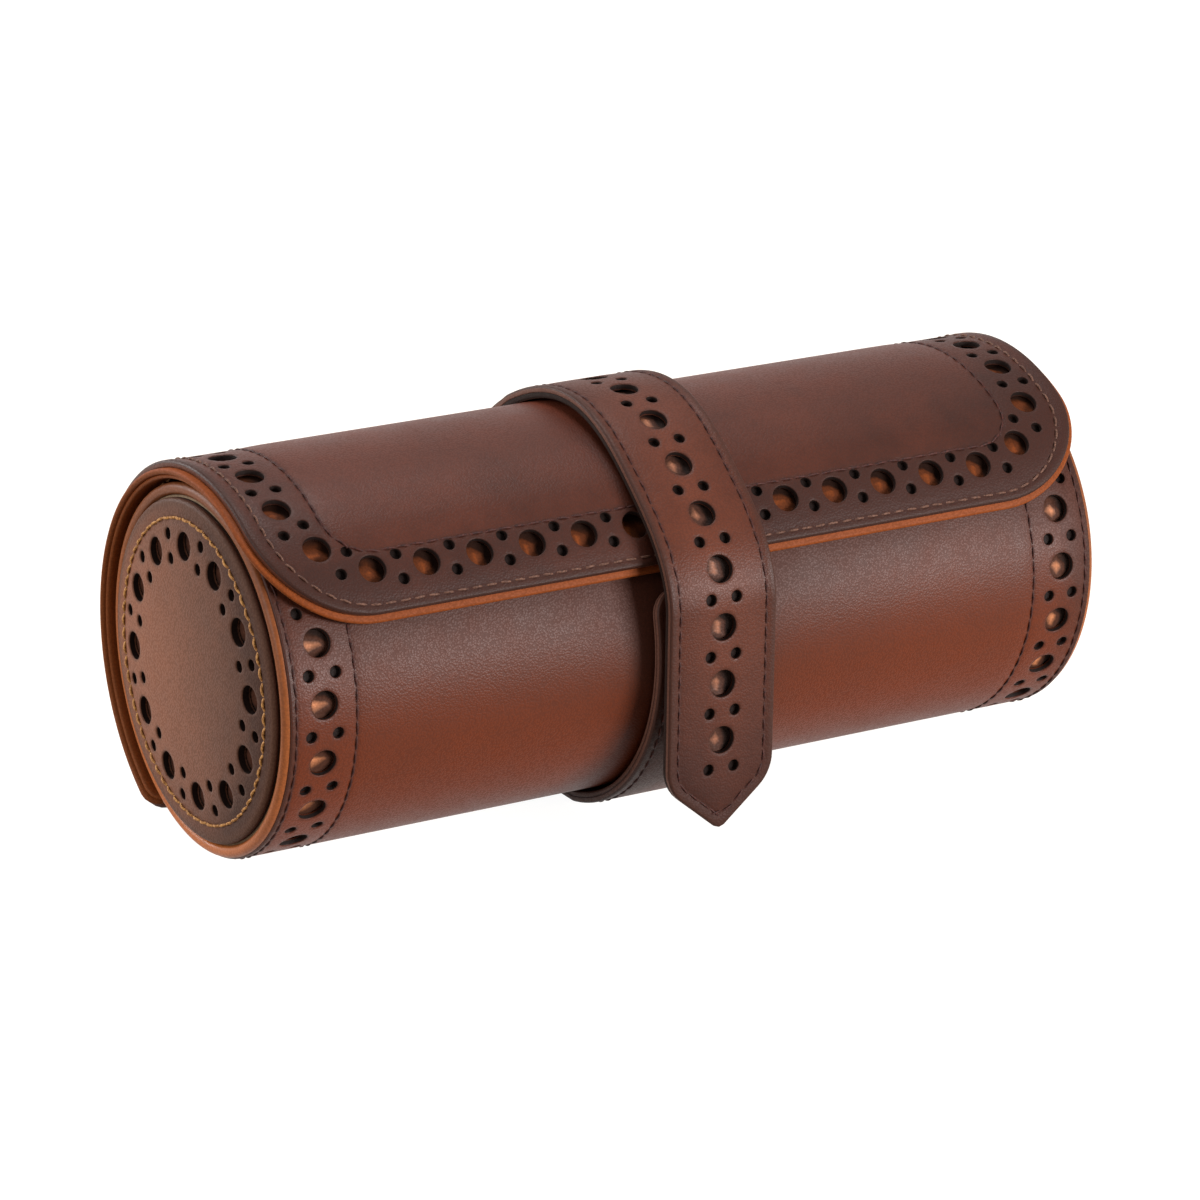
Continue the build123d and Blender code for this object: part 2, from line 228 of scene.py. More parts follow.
class MaterialGraph(Graph):
    """Node tree of one material."""

    def __init__(self, name: str) -> None:
        """Starts an empty material.

        Args:
            name: Name of the material.
        """
        self.material = bpy.data.materials.new(name)
        self.material.use_nodes = True
        super().__init__(self.material.node_tree)
        self.place = self.node("ShaderNodeTexCoord", {}, {}).outputs["Object"]

    def mix(self, factor: object, first: object, second: object) -> bpy.types.NodeSocket:
        """Mixes two colours.

        Args:
            factor: Share of the second colour.
            first: First colour or socket.
            second: Second colour or socket.

        Returns:
            The mixed colour's socket.
        """
        sockets = {"Factor_Float": factor, "A_Color": first, "B_Color": second}
        made = self.node("ShaderNodeMix", {"data_type": "RGBA", "clamp_factor": True}, sockets)
        return next(s for s in made.outputs if s.identifier == "Result_Color")

    def noise(self, scale: float, detail: float, rough: float) -> Signal:
        """Soft noise between 0 and 1: waves for each metre, octaves, and strength of the finer ones."""
        sockets = {"Vector": self.place, "Scale": scale, "Detail": detail, "Roughness": rough}
        return Signal(self, self.node("ShaderNodeTexNoise", {}, sockets).outputs[0])

    def cells(self, scale: float) -> Signal:
        """Distance from the middle of a cell pattern, for grain."""
        made = self.node("ShaderNodeTexVoronoi", {}, {"Vector": self.place, "Scale": scale})
        return Signal(self, made.outputs["Distance"])

    def mark(self, name: str) -> list[Signal]:
        """Reads the three numbers that a piece's mesh carries.

        Args:
            name: Name that it carries them under.

        Returns:
            The numbers.
        """
        made = self.node("ShaderNodeAttribute", {"attribute_name": name}, {})
        split = self.node("ShaderNodeSeparateXYZ", {}, {0: made.outputs["Vector"]})
        return [Signal(self, output) for output in split.outputs]

    def bump(self, strength: float, distance: float, height: Signal) -> bpy.types.NodeSocket:
        """Normal of fine relief whose greatest depth is a distance in metres."""
        sockets = {"Strength": strength, "Distance": distance, "Height": height}
        return self.node("ShaderNodeBump", {}, sockets).outputs[0]

    def finish(self, shader: dict, normal: Optional[bpy.types.NodeSocket] = None) -> bpy.types.Material:
        """Ends the material in one Principled shader.

        Args:
            shader: Its socket values and links.
            normal: Bumped normal.

        Returns:
            The material.
        """
        bumped = {} if normal is None else {"Normal": normal}
        surface = self.node("ShaderNodeBsdfPrincipled", {}, {**shader, **bumped})
        self.node("ShaderNodeOutputMaterial", {}, {"Surface": surface.outputs[0]})
        return self.material


def rgb(*parts: int) -> Colour:
    """Linear colour of red, green and blue written in 0 to 255."""
    shares = [part / 255 for part in parts]
    return tuple(s / 12.92 if s <= 0.04045 else ((s + 0.055) / 1.055) ** 2.4 for s in shares)


# Near-black painted shade on punch walls and in the floors of small punches.
PUNCH_PAINTED_SHADE = rgb(20, 9, 6)
DEEP_SHADOW = rgb(17, 8, 5)
PORE_DYE = rgb(20, 11, 8)


# Finishes
@dataclass(frozen=True)
class Leather:
    """Hand-burnished leather: a dark colour and a light one for rubbed wear and painted light, grain, edges that
    went darker, and painted shade in punches and where the tone falls below zero.
    """

    name: str
    deep: Colour
    rubbed_and_lit: Colour
    edge: Colour
    cut: Colour
    grain: float = 0.5
    grain_scale: float = 1900.0
    roughness: float = 0.42
    specular: float = 0.34
    edge_width: float = 2.6

    def make(self) -> bpy.types.Material:
        """Builds the material from the marks that the panels carry.

        Returns:
            The material.
        """
        graph = MaterialGraph(self.name)
        edge, hole, seam = graph.mark("marks")
        tone = graph.mark("tone")[0]
        patina = graph.noise(26.0, 4.0, 0.6)
        mottle = graph.noise(190.0, 3.0, 0.6)
        cells = graph.cells(self.grain_scale)
        fine = graph.noise(2600.0, 3.0, 0.6)
        blend = (tone + (patina - 0.5) * 0.5 + (mottle - 0.5) * 0.22).held()
        colour = graph.mix(blend, self.deep, self.rubbed_and_lit)
        pores = cells.ramp(0.25, 0.75)
        # Edge, cut, seam and punch-edge colours are the leather's own; a hole mark below zero paints near-black
        # shade on punch walls and floors, and a tone below zero paints deep shadow.
        for share, dye in ((edge.ramp(self.edge_width, 0.4) * 0.85, self.edge), (edge.ramp(-0.05, -0.5), self.cut),
                           (seam.ramp(0.8, 0.1) * 0.55, self.edge), (hole.ramp(1.0, 0.0) * 0.55, self.edge),
                           (hole.ramp(0.0, -0.3), PUNCH_PAINTED_SHADE), (tone.ramp(-0.35, -1.1) * 0.92, DEEP_SHADOW),
                           (pores * 0.22, PORE_DYE)):
            colour = graph.mix(share, colour, dye)
        height = (1 - pores) * 0.6 + fine * 0.5 + mottle * 0.12
        bump = graph.bump(self.grain, 0.0001, height)
        dull = (0.35 - tone).held() * 0.3
        rough = (self.roughness + dull + (mottle - 0.5) * 0.14 + pores * 0.1 + hole.ramp(0.0, -0.3) * 0.3).held()
        shader = {"Base Color": colour, "Roughness": rough, "Specular IOR Level": self.specular}
        return graph.finish(shader, bump)


@dataclass(frozen=True)
class Suede:
    """Napped suede of the lining and the cushions."""

    name: str
    base: Colour
    shade: Colour
    nap: float = 0.5

    def make(self) -> bpy.types.Material:
        """Builds the material.

        Returns:
            The material.
        """
        graph = MaterialGraph(self.name)
        brushed = graph.noise(55.0, 5.0, 0.65)
        fibre = graph.noise(2400.0, 4.0, 0.7)
        colour = graph.mix((brushed.ramp(0.3, 0.7) * 0.6 + fibre * 0.35).held(), self.base, self.shade)
        bump = graph.bump(self.nap, 0.0003, fibre)
        shader = {"Base Color": colour, "Roughness": (0.86 + (fibre - 0.5) * 0.1).held(),
                  "Specular IOR Level": 0.2, "Sheen Weight": 0.35, "Sheen Roughness": 0.4}
        return graph.finish(shader, bump)


@dataclass(frozen=True)
class Thread:
    """Waxed sewing thread with a faint twist."""

    name: str
    base: Colour
    shade: Colour

    def make(self) -> bpy.types.Material:
        """Builds the material.

        Returns:
            The material.
        """
        graph = MaterialGraph(self.name)
        twist = graph.noise(1800.0, 2.0, 0.5)
        colour = graph.mix(twist.ramp(0.35, 0.65), self.base, self.shade)
        bump = graph.bump(0.5, 0.0001, twist)
        shader = {"Base Color": colour, "Roughness": (0.5 + twist * 0.15).held(), "Specular IOR Level": 0.14}
        return graph.finish(shader, bump)


@dataclass(frozen=True)
class Board:
    """Grey-brown fibre board."""

    name: str
    base: Colour
    fleck: Colour

    def make(self) -> bpy.types.Material:
        """Builds the material.

        Returns:
            The material.
        """
        graph = MaterialGraph(self.name)
        fibre = graph.noise(900.0, 5.0, 0.7)
        colour = graph.mix(fibre.ramp(0.35, 0.65), self.base, self.fleck)
        bump = graph.bump(0.3, 0.0002, fibre)
        return graph.finish({"Base Color": colour, "Roughness": (0.85 + fibre * 0.1).held()}, bump)


@dataclass(frozen=True)
class Steel:
    """Nickel-plated magnet."""

    name: str

    def make(self) -> bpy.types.Material:
        """Builds the material.

        Returns:
            The material.
        """
        graph = MaterialGraph(self.name)
        worn = graph.noise(700.0, 4.0, 0.6)
        colour = graph.mix(worn, rgb(190, 190, 186), rgb(150, 149, 144))
        shader = {"Base Color": colour, "Metallic": 1.0, "Roughness": (0.2 + worn * 0.2).held()}
        return graph.finish(shader)


class Finish(Enum):
    """Named finishes of the roll."""

    DARK = Leather("dark_leather_flap", rgb(42, 17, 9), rgb(94, 43, 26), rgb(42, 19, 11), rgb(76, 41, 28),
                   roughness=0.39, specular=0.13)
    BODY = Leather("dark_leather_tube", rgb(58, 25, 13), rgb(92, 34, 3), rgb(50, 22, 12), rgb(94, 47, 25),
                   specular=0.17)
    STRAP = Leather("dark_leather_strap", rgb(46, 19, 11), rgb(94, 47, 30), rgb(50, 26, 18), rgb(96, 64, 53),
                    specular=0.12)
    STRAP_BACK = Leather("tan_leather_strap_lining", rgb(60, 34, 24), rgb(150, 98, 74), rgb(78, 54, 46),
                         rgb(104, 78, 70), edge_width=3.2, specular=0.12)
    DISC = Leather("dark_leather_disc", rgb(60, 39, 31), rgb(126, 81, 61), rgb(76, 50, 38), rgb(66, 38, 28),
                   edge_width=3.4, specular=0.08)
    RIM = Leather("tan_leather_rim", rgb(74, 35, 15), rgb(134, 66, 28), rgb(112, 55, 24), rgb(110, 59, 30),
                  grain=0.2, roughness=0.5, specular=0.06)
    LIP = Leather("tan_leather_lip", rgb(84, 44, 21), rgb(162, 90, 44), rgb(124, 68, 34), rgb(130, 74, 40),
                  grain=0.2, roughness=0.36, specular=0.16)
    TAN = Leather("tan_leather_backing", rgb(60, 32, 20), rgb(176, 112, 76), rgb(110, 64, 38), rgb(90, 52, 32),
                  grain=0.4, roughness=0.55, specular=0.14, edge_width=0.5)
    LINING = Suede("soft_lining_suede", rgb(150, 116, 84), rgb(120, 88, 60))
    CUSHION = Suede("cushion_suede_tan", rgb(168, 132, 98), rgb(136, 102, 72))
    THREAD = Thread("thread_dark", rgb(58, 26, 20), rgb(34, 14, 11))
    GOLD_THREAD = Thread("thread_golden", rgb(176, 128, 74), rgb(120, 78, 40))
    WORN_THREAD = Thread("thread_brown_worn", rgb(92, 64, 52), rgb(60, 38, 30))
    PALE_THREAD = Thread("thread_tan", rgb(150, 108, 74), rgb(104, 68, 44))
    BOARD = Board("stiff_board_fibre", rgb(120, 98, 74), rgb(92, 72, 52))
    STEEL = Steel("magnet_steel_plate")


_made: dict[Finish, bpy.types.Material] = {}


def dressed(finish: Finish) -> bpy.types.Material:
    """The finish's material, made once.

    Args:
        finish: Finish to look up.

    Returns:
        Its material.
    """
    if finish not in _made:
        _made[finish] = finish.value.make()
    return _made[finish]


# Surfaces and holding
class Surface:
    """Surface that flat leather is laid on. Its flat measures and heights are in millimetres."""

    def lift(self, flat: Array, height: Array) -> Array:
        """Places flat points, across and along the leather, at heights over the surface."""
        raise NotImplementedError

    def outward(self, flat: Array) -> Array:
        """Direction out of the surface at flat points."""
        zero = np.zeros(len(flat))
        return self.lift(flat, zero + 1.0) - self.lift(flat, zero)


@dataclass(frozen=True)
class RollSurface(Surface):
    """Round the roll's axis: across is X, along is the arc from the front at the surface's radius."""

    radius: float
    inward: bool = False

    def lift(self, flat: Array, height: Array) -> Array:
        """Places flat points round the axis.

        Args:
            flat: Points across and along the leather.
            height: Height of each over the surface.

        Returns:
            Points in space.
        """
        sign = -1.0 if self.inward else 1.0
        angle = flat[:, 1] / self.radius
        reach = self.radius + sign * height
        return np.stack([sign * flat[:, 0], -np.cos(angle) * reach, AXIS_HEIGHT + np.sin(angle) * reach], 1)

    def along(self, degrees: float) -> float:
        """Arc length at an angle."""
        return math.radians(degrees) * self.radius


@dataclass(frozen=True)
class EndSurface(Surface):
    """Flat end of the roll. Side is -1 at the left end and 1 at the right one."""

    side: int
    face: float

    def lift(self, flat: Array, height: Array) -> Array:
        """Places flat points on the end."""
        x = self.side * (self.face + height)
        return np.stack([x, self.side * flat[:, 0], AXIS_HEIGHT + flat[:, 1]], 1)


@dataclass(frozen=True)
class PathSurface(Surface):
    """Follows a line in the YZ plane; across is X and along is the length from the line's start."""

    line: Array

    def _at(self, along: Array) -> tuple[Array, Array]:
        """Finds points of the line.

        Args:
            along: Lengths from the line's start.

        Returns:
            The point and the direction at each length.
        """
        steps = np.linalg.norm(np.diff(self.line, axis=0), axis=1)
        reach = np.concatenate([[0.0], np.cumsum(steps)])
        held = np.clip(along, 0.0, reach[-1])
        spot = np.stack([np.interp(held, reach, self.line[:, k]) for k in (0, 1)], 1)
        slope = np.gradient(self.line, reach, axis=0)
        way = np.stack([np.interp(held, reach, slope[:, k]) for k in (0, 1)], 1)
        way /= np.linalg.norm(way, axis=1)[:, None]
        return spot + way * (along - held)[:, None], way

    def lift(self, flat: Array, height: Array) -> Array:
        """Places flat points along the line.

        Args:
            flat: Points across and along the leather.
            height: Height of each over the surface.

        Returns:
            Points in space.
        """
        spot, way = self._at(flat[:, 1])
        out = np.stack([-way[:, 1], way[:, 0]], 1)
        spot = spot + out * height[:, None]
        return np.stack([flat[:, 0], spot[:, 0], spot[:, 1]], 1)

    @property
    def length(self) -> float:
        """Length of the line."""
        return float(np.linalg.norm(np.diff(self.line, axis=0), axis=1).sum())


@dataclass(frozen=True)
class Hold:
    """Which body a piece rides on, or which two it spans."""

    body: str
    other: Optional[str] = None
    start: Place = (0.0, 0.0, 0.0)
    end: Place = (0.0, 0.0, 0.0)

    def take(self, piece: bpy.types.Object) -> None:
        """Joins the piece to its body, or bakes its placement into its mesh when it spans two.

        Args:
            piece: Finished piece.
        """
        if self.other is None:
            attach(piece, self.body)
        else:
            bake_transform(piece)


ON_ROLL = Hold("roll")
OVER_HINGE = Hold("roll", "flap", (0.0, 0.047, 0.0335), (0.0, 0.047, 0.0417))
OVER_STRAP_BEND = Hold("flap", "strap", (0.0, 0.0275, 0.09), (0.0, 0.0195, 0.09))


def place_piece(piece: bpy.types.Object, hold: Hold, stands_for: Sequence[str] = ()) -> None:
    """Joins a finished piece to the frame and reports it.

    Args:
        piece: Finished piece, at the origin.
        hold: Body or bodies.
        stands_for: Nodes that it replaces.
    """
    hold.take(piece)
    if stands_for:
        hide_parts(*stands_for)
    log.info("%s: %d faces", piece.name, len(piece.data.polygons))


def new_object(name: str, mesh: bpy.types.Mesh) -> bpy.types.Object:
    """Adds a mesh to the scene.

    Args:
        name: Name of the piece.
        mesh: Its mesh.

    Returns:
        The object, at the origin.
    """
    piece = bpy.data.objects.new(name, mesh)
    bpy.context.scene.collection.objects.link(piece)
    return piece


def dress_nodes(finishes: dict[str, Finish]) -> None:
    """Gives nodes of the frame their materials.

    Args:
        finishes: Finish by node.
    """
    for name, finish in finishes.items():
        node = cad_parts[name]
        node.data.materials.clear()
        node.data.materials.append(dressed(finish))
        log.info("%s: %s", name, finish.name)


def put_vectors(mesh: bpy.types.Mesh, name: str, values: Array) -> None:
    """Stores three numbers at every point of a mesh."""
    stored = mesh.attributes.new(name, "FLOAT_VECTOR", "POINT")
    stored.data.foreach_set("vector", values.astype(np.float32).ravel())


def smoothed(mesh: bpy.types.Mesh, sharp: Optional[float] = None) -> None:
    """Shades a mesh smooth.

    Args:
        mesh: The mesh.
        sharp: Angle in degrees from which its edges stay sharp.
    """
    mesh.polygons.foreach_set("use_smooth", np.ones(len(mesh.polygons), bool))
    if sharp is not None:
        mesh.set_sharp_from_angle(angle=math.radians(sharp))


def recalculated(mesh: bpy.types.Mesh) -> None:
    """Turns a mesh's faces outwards.

    Args:
        mesh: The mesh.
    """
    shape = bmesh.new()
    shape.from_mesh(mesh)
    bmesh.ops.remove_doubles(shape, verts=shape.verts, dist=1e-7)
    bmesh.ops.recalc_face_normals(shape, faces=shape.faces)
    shape.to_mesh(mesh)
    shape.free()


def evaluated(piece: bpy.types.Object) -> bpy.types.Mesh:
    """New mesh of a piece with its modifiers applied."""
    graph = bpy.context.evaluated_depsgraph_get()
    return bpy.data.meshes.new_from_object(piece.evaluated_get(graph))


def set_down(piece: bpy.types.Object) -> None:
    """Puts a piece's modifiers into its mesh.

    Args:
        piece: The piece.
    """
    mesh = evaluated(piece)
    piece.modifiers.clear()
    piece.data = mesh


# Flat line work
def rounded_corners(corners: Sequence[Place], step: float) -> Array:
    """Closed line through corners with rounded turns, counter-clockwise.

    Args:
        corners: Across, along and radius of each corner.
        step: Distance between points.

    Returns:
        Points of the line.
    """
    points: list[Array] = []
    count = len(corners)
    turned = []
    for number in range(count):
        here, before, after = (np.array(corners[k % count][:2]) for k in (number, number - 1, number + 1))
        back = (before - here) / np.linalg.norm(before - here)
        ahead = (after - here) / np.linalg.norm(after - here)
        half = math.acos(float(np.clip(back @ ahead, -1, 1))) / 2
        radius = corners[number][2]
        reach = radius / math.tan(half)
        middle = here + (back + ahead) / np.linalg.norm(back + ahead) * radius / math.sin(half)
        first = here + back * reach
        sweep = math.pi - 2 * half
        parts = max(2, int(round(sweep * radius / step)))
        start = math.atan2(*(first - middle)[::-1])
        turned.append([middle + radius * np.array([math.cos(start + sweep * k / parts),
                                                   math.sin(start + sweep * k / parts)])
                       for k in range(parts + 1)])
    for number in range(count):
        arc = turned[number]
        points.extend(arc)
        last, following = arc[-1], turned[(number + 1) % count][0]
        gap = float(np.linalg.norm(following - last))
        parts = max(1, int(round(gap / step)))
        points.extend(last + (following - last) * k / parts for k in range(1, parts))
    kept = [points[0]]
    for point in points[1:]:
        if np.linalg.norm(point - kept[-1]) > CLOSEST:
            kept.append(point)
    if np.linalg.norm(kept[0] - kept[-1]) < CLOSEST:
        kept.pop()
    return np.array(kept)


def oblong(left: float, right: float, low: float, high: float, rounds: Pair, step: float) -> Array:
    """Outline with four rounded corners: the rounds are those of the low corners and of the high ones."""
    near, far = rounds
    return rounded_corners([(left, low, near), (right, low, near), (right, high, far), (left, high, far)], step)


def returned(loop: Array) -> Array:
    """The closed line with its first point again at its end."""
    return np.vstack([loop, loop[:1]])


def circle(centre: Pair, radius: float, parts: int) -> Array:
    """Closed circle, counter-clockwise."""
    turn = np.arange(parts) * 2 * math.pi / parts
    return np.stack([centre[0] + radius * np.cos(turn), centre[1] + radius * np.sin(turn)], 1)


def moved_out(loop: Array, distance: float) -> Array:
    """The closed line moved outwards.

    Args:
        loop: Counter-clockwise points.
        distance: Distance, below 0 for inwards.

    Returns:
        Moved points.
    """
    ahead = np.roll(loop, -1, axis=0) - loop
    ahead /= np.linalg.norm(ahead, axis=1)[:, None]
    behind = np.roll(ahead, 1, axis=0)
    way = ahead + behind
    way /= np.linalg.norm(way, axis=1)[:, None]
    stretch = 1 / np.clip((way * ahead).sum(1), 0.6, 1.0)
    return loop + np.stack([way[:, 1], -way[:, 0]], 1) * (distance * stretch)[:, None]


def inside(points: Array, loop: Array) -> Array:
    """Which points lie inside a closed line.

    Args:
        points: Points to test.
        loop: The line.

    Returns:
        True or False for each.
    """
    x, y = points[:, 0], points[:, 1]
    result = np.zeros(len(points), bool)
    for (x1, y1), (x2, y2) in zip(loop, np.roll(loop, -1, axis=0)):
        if y1 == y2:
            continue
        crosses = (y1 > y) != (y2 > y)
        result ^= crosses & (x < (x2 - x1) * (y - y1) / (y2 - y1) + x1)
    return result


def resampled(line: Array, step: float, closed: bool = False) -> Array:
    """The line with even spacing.

    Args:
        line: Points of the line.
        step: Distance between the new points.
        closed: Whether the line returns to its start.

    Returns:
        New points.
    """
    path = returned(line) if closed else line
    reach = np.concatenate([[0.0], np.cumsum(np.linalg.norm(np.diff(path, axis=0), axis=1))])
    count = max(2, int(round(reach[-1] / step)) + 1)
    at = np.linspace(0.0, reach[-1], count)
    if closed:
        at = at[:-1]
    return np.stack([np.interp(at, reach, path[:, k]) for k in range(path.shape[1])], 1)


def nearest(points: Array, targets: Array) -> Array:
    """Distance from each point to the nearest target.

    Args:
        points: Flat points.
        targets: Flat targets.

    Returns:
        Distances, large where there is no target.
    """
    if not len(targets):
        return np.full(len(points), FAR)
    tree = KDTree(len(targets))
    for number, target in enumerate(targets):
        tree.insert((target[0], target[1], 0.0), number)
    tree.balance()
    return np.array([tree.find((p[0], p[1], 0.0))[2] for p in points])


def dished(flat: Array, centres: Array, depth: float) -> Array:
    """Backing leather sinks behind each big punch and swells a little in its middle.

    Args:
        flat: Flat points of the backing.
        centres: Middles of the punches.
        depth: How far it sinks.

    Returns:
        Height at each point.
    """
    away = nearest(flat, centres)
    sunk = np.clip(1.0 - np.clip(away - DISH_RADIUS, 0.0, None) / DISH_WALL, 0.0, 1.0)
    swell = 0.4 * np.clip(1.0 - (away / DISH_RADIUS) ** 2, 0.0, 1.0)
    return -depth * (sunk - swell)


def painted_punch_shading(flat: Array, centres: Array, light: float) -> Array:
    """Painted light and shade in the backing of each large punch: a light spot to one side, and near-black painted
    shade under its rim.
    """
    away = nearest(flat, centres + np.array(PAINTED_LIGHT_SPOT))
    return light - (light + 1.1) * np.clip((away - DISH_RADIUS / 2) / DISH_WALL, 0.0, 1.0)


# Panels
@dataclass
class Hole:
    """Round punch in a panel."""

    across: float
    along: float
    radius: float
    parts: int
    blind: bool = False


def punch(across: float, along: float) -> Hole:
    """Large punch that shows the backing."""
    return Hole(across, along, PUNCH_RADIUS, PUNCH_PARTS)


def pin(across: float, along: float) -> Hole:
    """Small punch whose floor is a near-black cap, painted shade."""
    return Hole(across, along, PIN_RADIUS, PIN_PARTS, blind=True)


def middles(holes: Sequence[Hole], scale: float = 1.0) -> Array:
    """Middles of the large punches, scaled along the leather."""
    return np.array([[h.across, h.along * scale] for h in holes if not h.blind])


@dataclass
class Panel:
    """Piece of leather cut flat, punched, sewn and laid on a surface."""

    name: str
    surface: Surface
    thickness: float
    outline: Array
    finish: Finish
    holes: list[Hole] = field(default_factory=list)
    windows: list[Array] = field(default_factory=list)
    seams: list[Array] = field(default_factory=list)
    spacing: float = 2.2
    edge_round: float = 0.55
    under_round: float = 0.2
    hole_round: float = 0.22
    groove: float = 0.2
    tone: Optional[Tone] = None
    under_tone: Optional[float] = None
    relief: Optional[Relief] = None

    @staticmethod
    def _ring(loop: Array, is_hole: bool, inset: float) -> Array:
        """A cut's line moved into the leather."""
        return moved_out(loop, inset if is_hole else -inset)

    def _profile(self, is_hole: bool) -> list[Pair]:
        """Rounded edge of a cut, from the top face to the underside.

        Args:
            is_hole: Whether the cut is a punch.

        Returns:
            Inset and depth of each row.
        """
        top = self.hole_round if is_hole else self.edge_round
        under = 0.0 if is_hole else self.under_round
        quarter = [math.pi / 2 * k / 4 for k in range(5)]
        rows = [(top * (1 - math.sin(t)), top * (1 - math.cos(t))) for t in quarter]
        wall = self.thickness - under
        if wall - top > 0.5:
            rows.append((0.0, (top + wall) / 2))
        rows.append((0.0, wall))
        if under > 0:
            rows += [(under * 0.3, self.thickness - under * 0.3), (under, self.thickness)]
        return rows

    def _inner_points(self, loops: list[tuple[Array, bool]]) -> Array:
        """Points inside the panel that carry its shape, finest near holes and seams.

        Args:
            loops: Line of each cut in the top face, the outline's first.

        Returns:
            The points.
        """
        sets = []
        for hole in self.holes:
            for out, parts in ((0.75, hole.parts // 2), (1.9, max(8, hole.parts // 3))):
                sets.append((circle((hole.across, hole.along), hole.radius + self.hole_round + out, parts), 0.45))
        for seam in self.seams:
            way = np.gradient(seam, axis=0)
            way /= np.linalg.norm(way, axis=1)[:, None]
            side = np.stack([-way[:, 1], way[:, 0]], 1)
            for offset in (0.0, -0.55, 0.55, -1.2, 1.2):
                sets.append((resampled(seam + side * offset, 1.5), 0.42))
        low, high = self.outline.min(0), self.outline.max(0)
        rows = np.arange(low[1] + self.spacing / 2, high[1], self.spacing)
        across = np.arange(low[0] + self.spacing / 2, high[0], self.spacing * 1.25)
        grid = np.stack(np.meshgrid(across, rows), -1).reshape(-1, 2)
        inner = moved_out(self.outline, -(self.edge_round + 1.0))
        sets.append((resampled(inner, 1.6, closed=True), 0.5))
        sets.append((grid, self.spacing * 0.55))
        taken = np.vstack([loop for loop, _ in loops])
        result = np.zeros((0, 2))
        for candidates, gap in sets:
            good = inside(candidates, loops[0][0])
            for window in self.windows:
                good &= ~inside(candidates, moved_out(window, self.edge_round))
            for hole in self.holes:
                away = np.hypot(candidates[:, 0] - hole.across, candidates[:, 1] - hole.along)
                good &= away > hole.radius + self.hole_round + 0.3
            candidates = candidates[good]
            if not len(candidates):
                continue
            clear = nearest(candidates, np.vstack([taken, result])) > gap
            result = np.vstack([result, candidates[clear]])
        return result

    def build(self) -> bpy.types.Object:
        """Cuts the panel, rounds its edges, presses its seams in and lays it on its surface.

        Returns:
            The piece, at the origin.
        """
        cuts = [(self.outline, False)] + [(w, True) for w in self.windows]
        cuts += [(circle((h.across, h.along), h.radius, h.parts), True) for h in self.holes]
        rounds = [self._profile(False)] * (1 + len(self.windows)) + [self._profile(True)] * len(self.holes)
        top_loops = [(self._ring(c, is_hole, rows[0][0]), is_hole) for (c, is_hole), rows in zip(cuts, rounds)]
        seam_points = np.vstack([resampled(s, 0.5) for s in self.seams]) if self.seams else np.zeros((0, 2))
        inner = self._inner_points(top_loops)
        points = np.vstack([loop for loop, _ in top_loops] + [inner])
        edges, spans, offset = [], [], 0
        for loop, _ in top_loops:
            count = len(loop)
            spans.append((offset, count))
            edges += [(offset + k, offset + (k + 1) % count) for k in range(count)]
            offset += count
        found = delaunay_2d_cdt([Vector(p) for p in points], edges, [], 0, 1e-7)
        flat = np.array([tuple(v) for v in found[0]])
        index = {}
        for new, originals in enumerate(found[3]):
            for original in originals:
                index[original] = new
        faces = np.array([f for f in found[2] if len(f) == 3])
        middle = flat[faces].mean(1)
        keep = inside(middle, top_loops[0][0])
        for window, _ in top_loops[1:1 + len(self.windows)]:
            keep &= ~inside(middle, window)
        for hole in self.holes:
            away = np.hypot(middle[:, 0] - hole.across, middle[:, 1] - hole.along)
            keep &= away > hole.radius + self.hole_round * 0.5
        faces = faces[keep]
        return self._assemble(flat, faces, index, cuts, rounds, spans, seam_points)

    def _assemble(self, flat: Array, faces: Array, index: dict, cuts: list, rounds: list,
                  spans: list, seam_points: Array) -> bpy.types.Object:
        """Stacks the top face, the edge rings and the underside into one closed mesh.

        Args:
            flat: Flat points of the top face.
            faces: Its triangles.
            index: Number in flat of each point that was laid out.
            cuts: Line of each cut, with whether it is an opening.
            rounds: Inset and depth of each cut's rows.
            spans: First point and number of points of each cut.
            seam_points: Points along the seams.

        Returns:
            The piece.
        """
        outline_points = np.vstack([resampled(c, 0.6, True) for c, _ in cuts[:1 + len(self.windows)]])
        hole_points = [resampled(c, 0.5, True) for c, _ in cuts[1 + len(self.windows):]]
        hole_points = np.vstack(hole_points) if hole_points else np.zeros((0, 2))
        marks = np.stack([nearest(flat, outline_points), nearest(flat, hole_points),
                          nearest(flat, seam_points)], 1)
        height = self._height(flat, marks)
        count = len(flat)
        under_flat = flat.copy()
        layers = [(flat, height, marks)]
        quads: list[tuple[int, ...]] = []
        total = 2 * count
        ring_rows: list[tuple[Array, Array, Array]] = []
        for number, ((cut, is_hole), rows, (start, size)) in enumerate(zip(cuts, rounds, spans)):
            top_ids = [index[start + k] for k in range(size)]
            lifted = height[top_ids]
            previous = top_ids
            for inset, depth in rows[1:-1]:
                ring = self._ring(cut, is_hole, inset)
                ring_marks = marks[top_ids].copy()
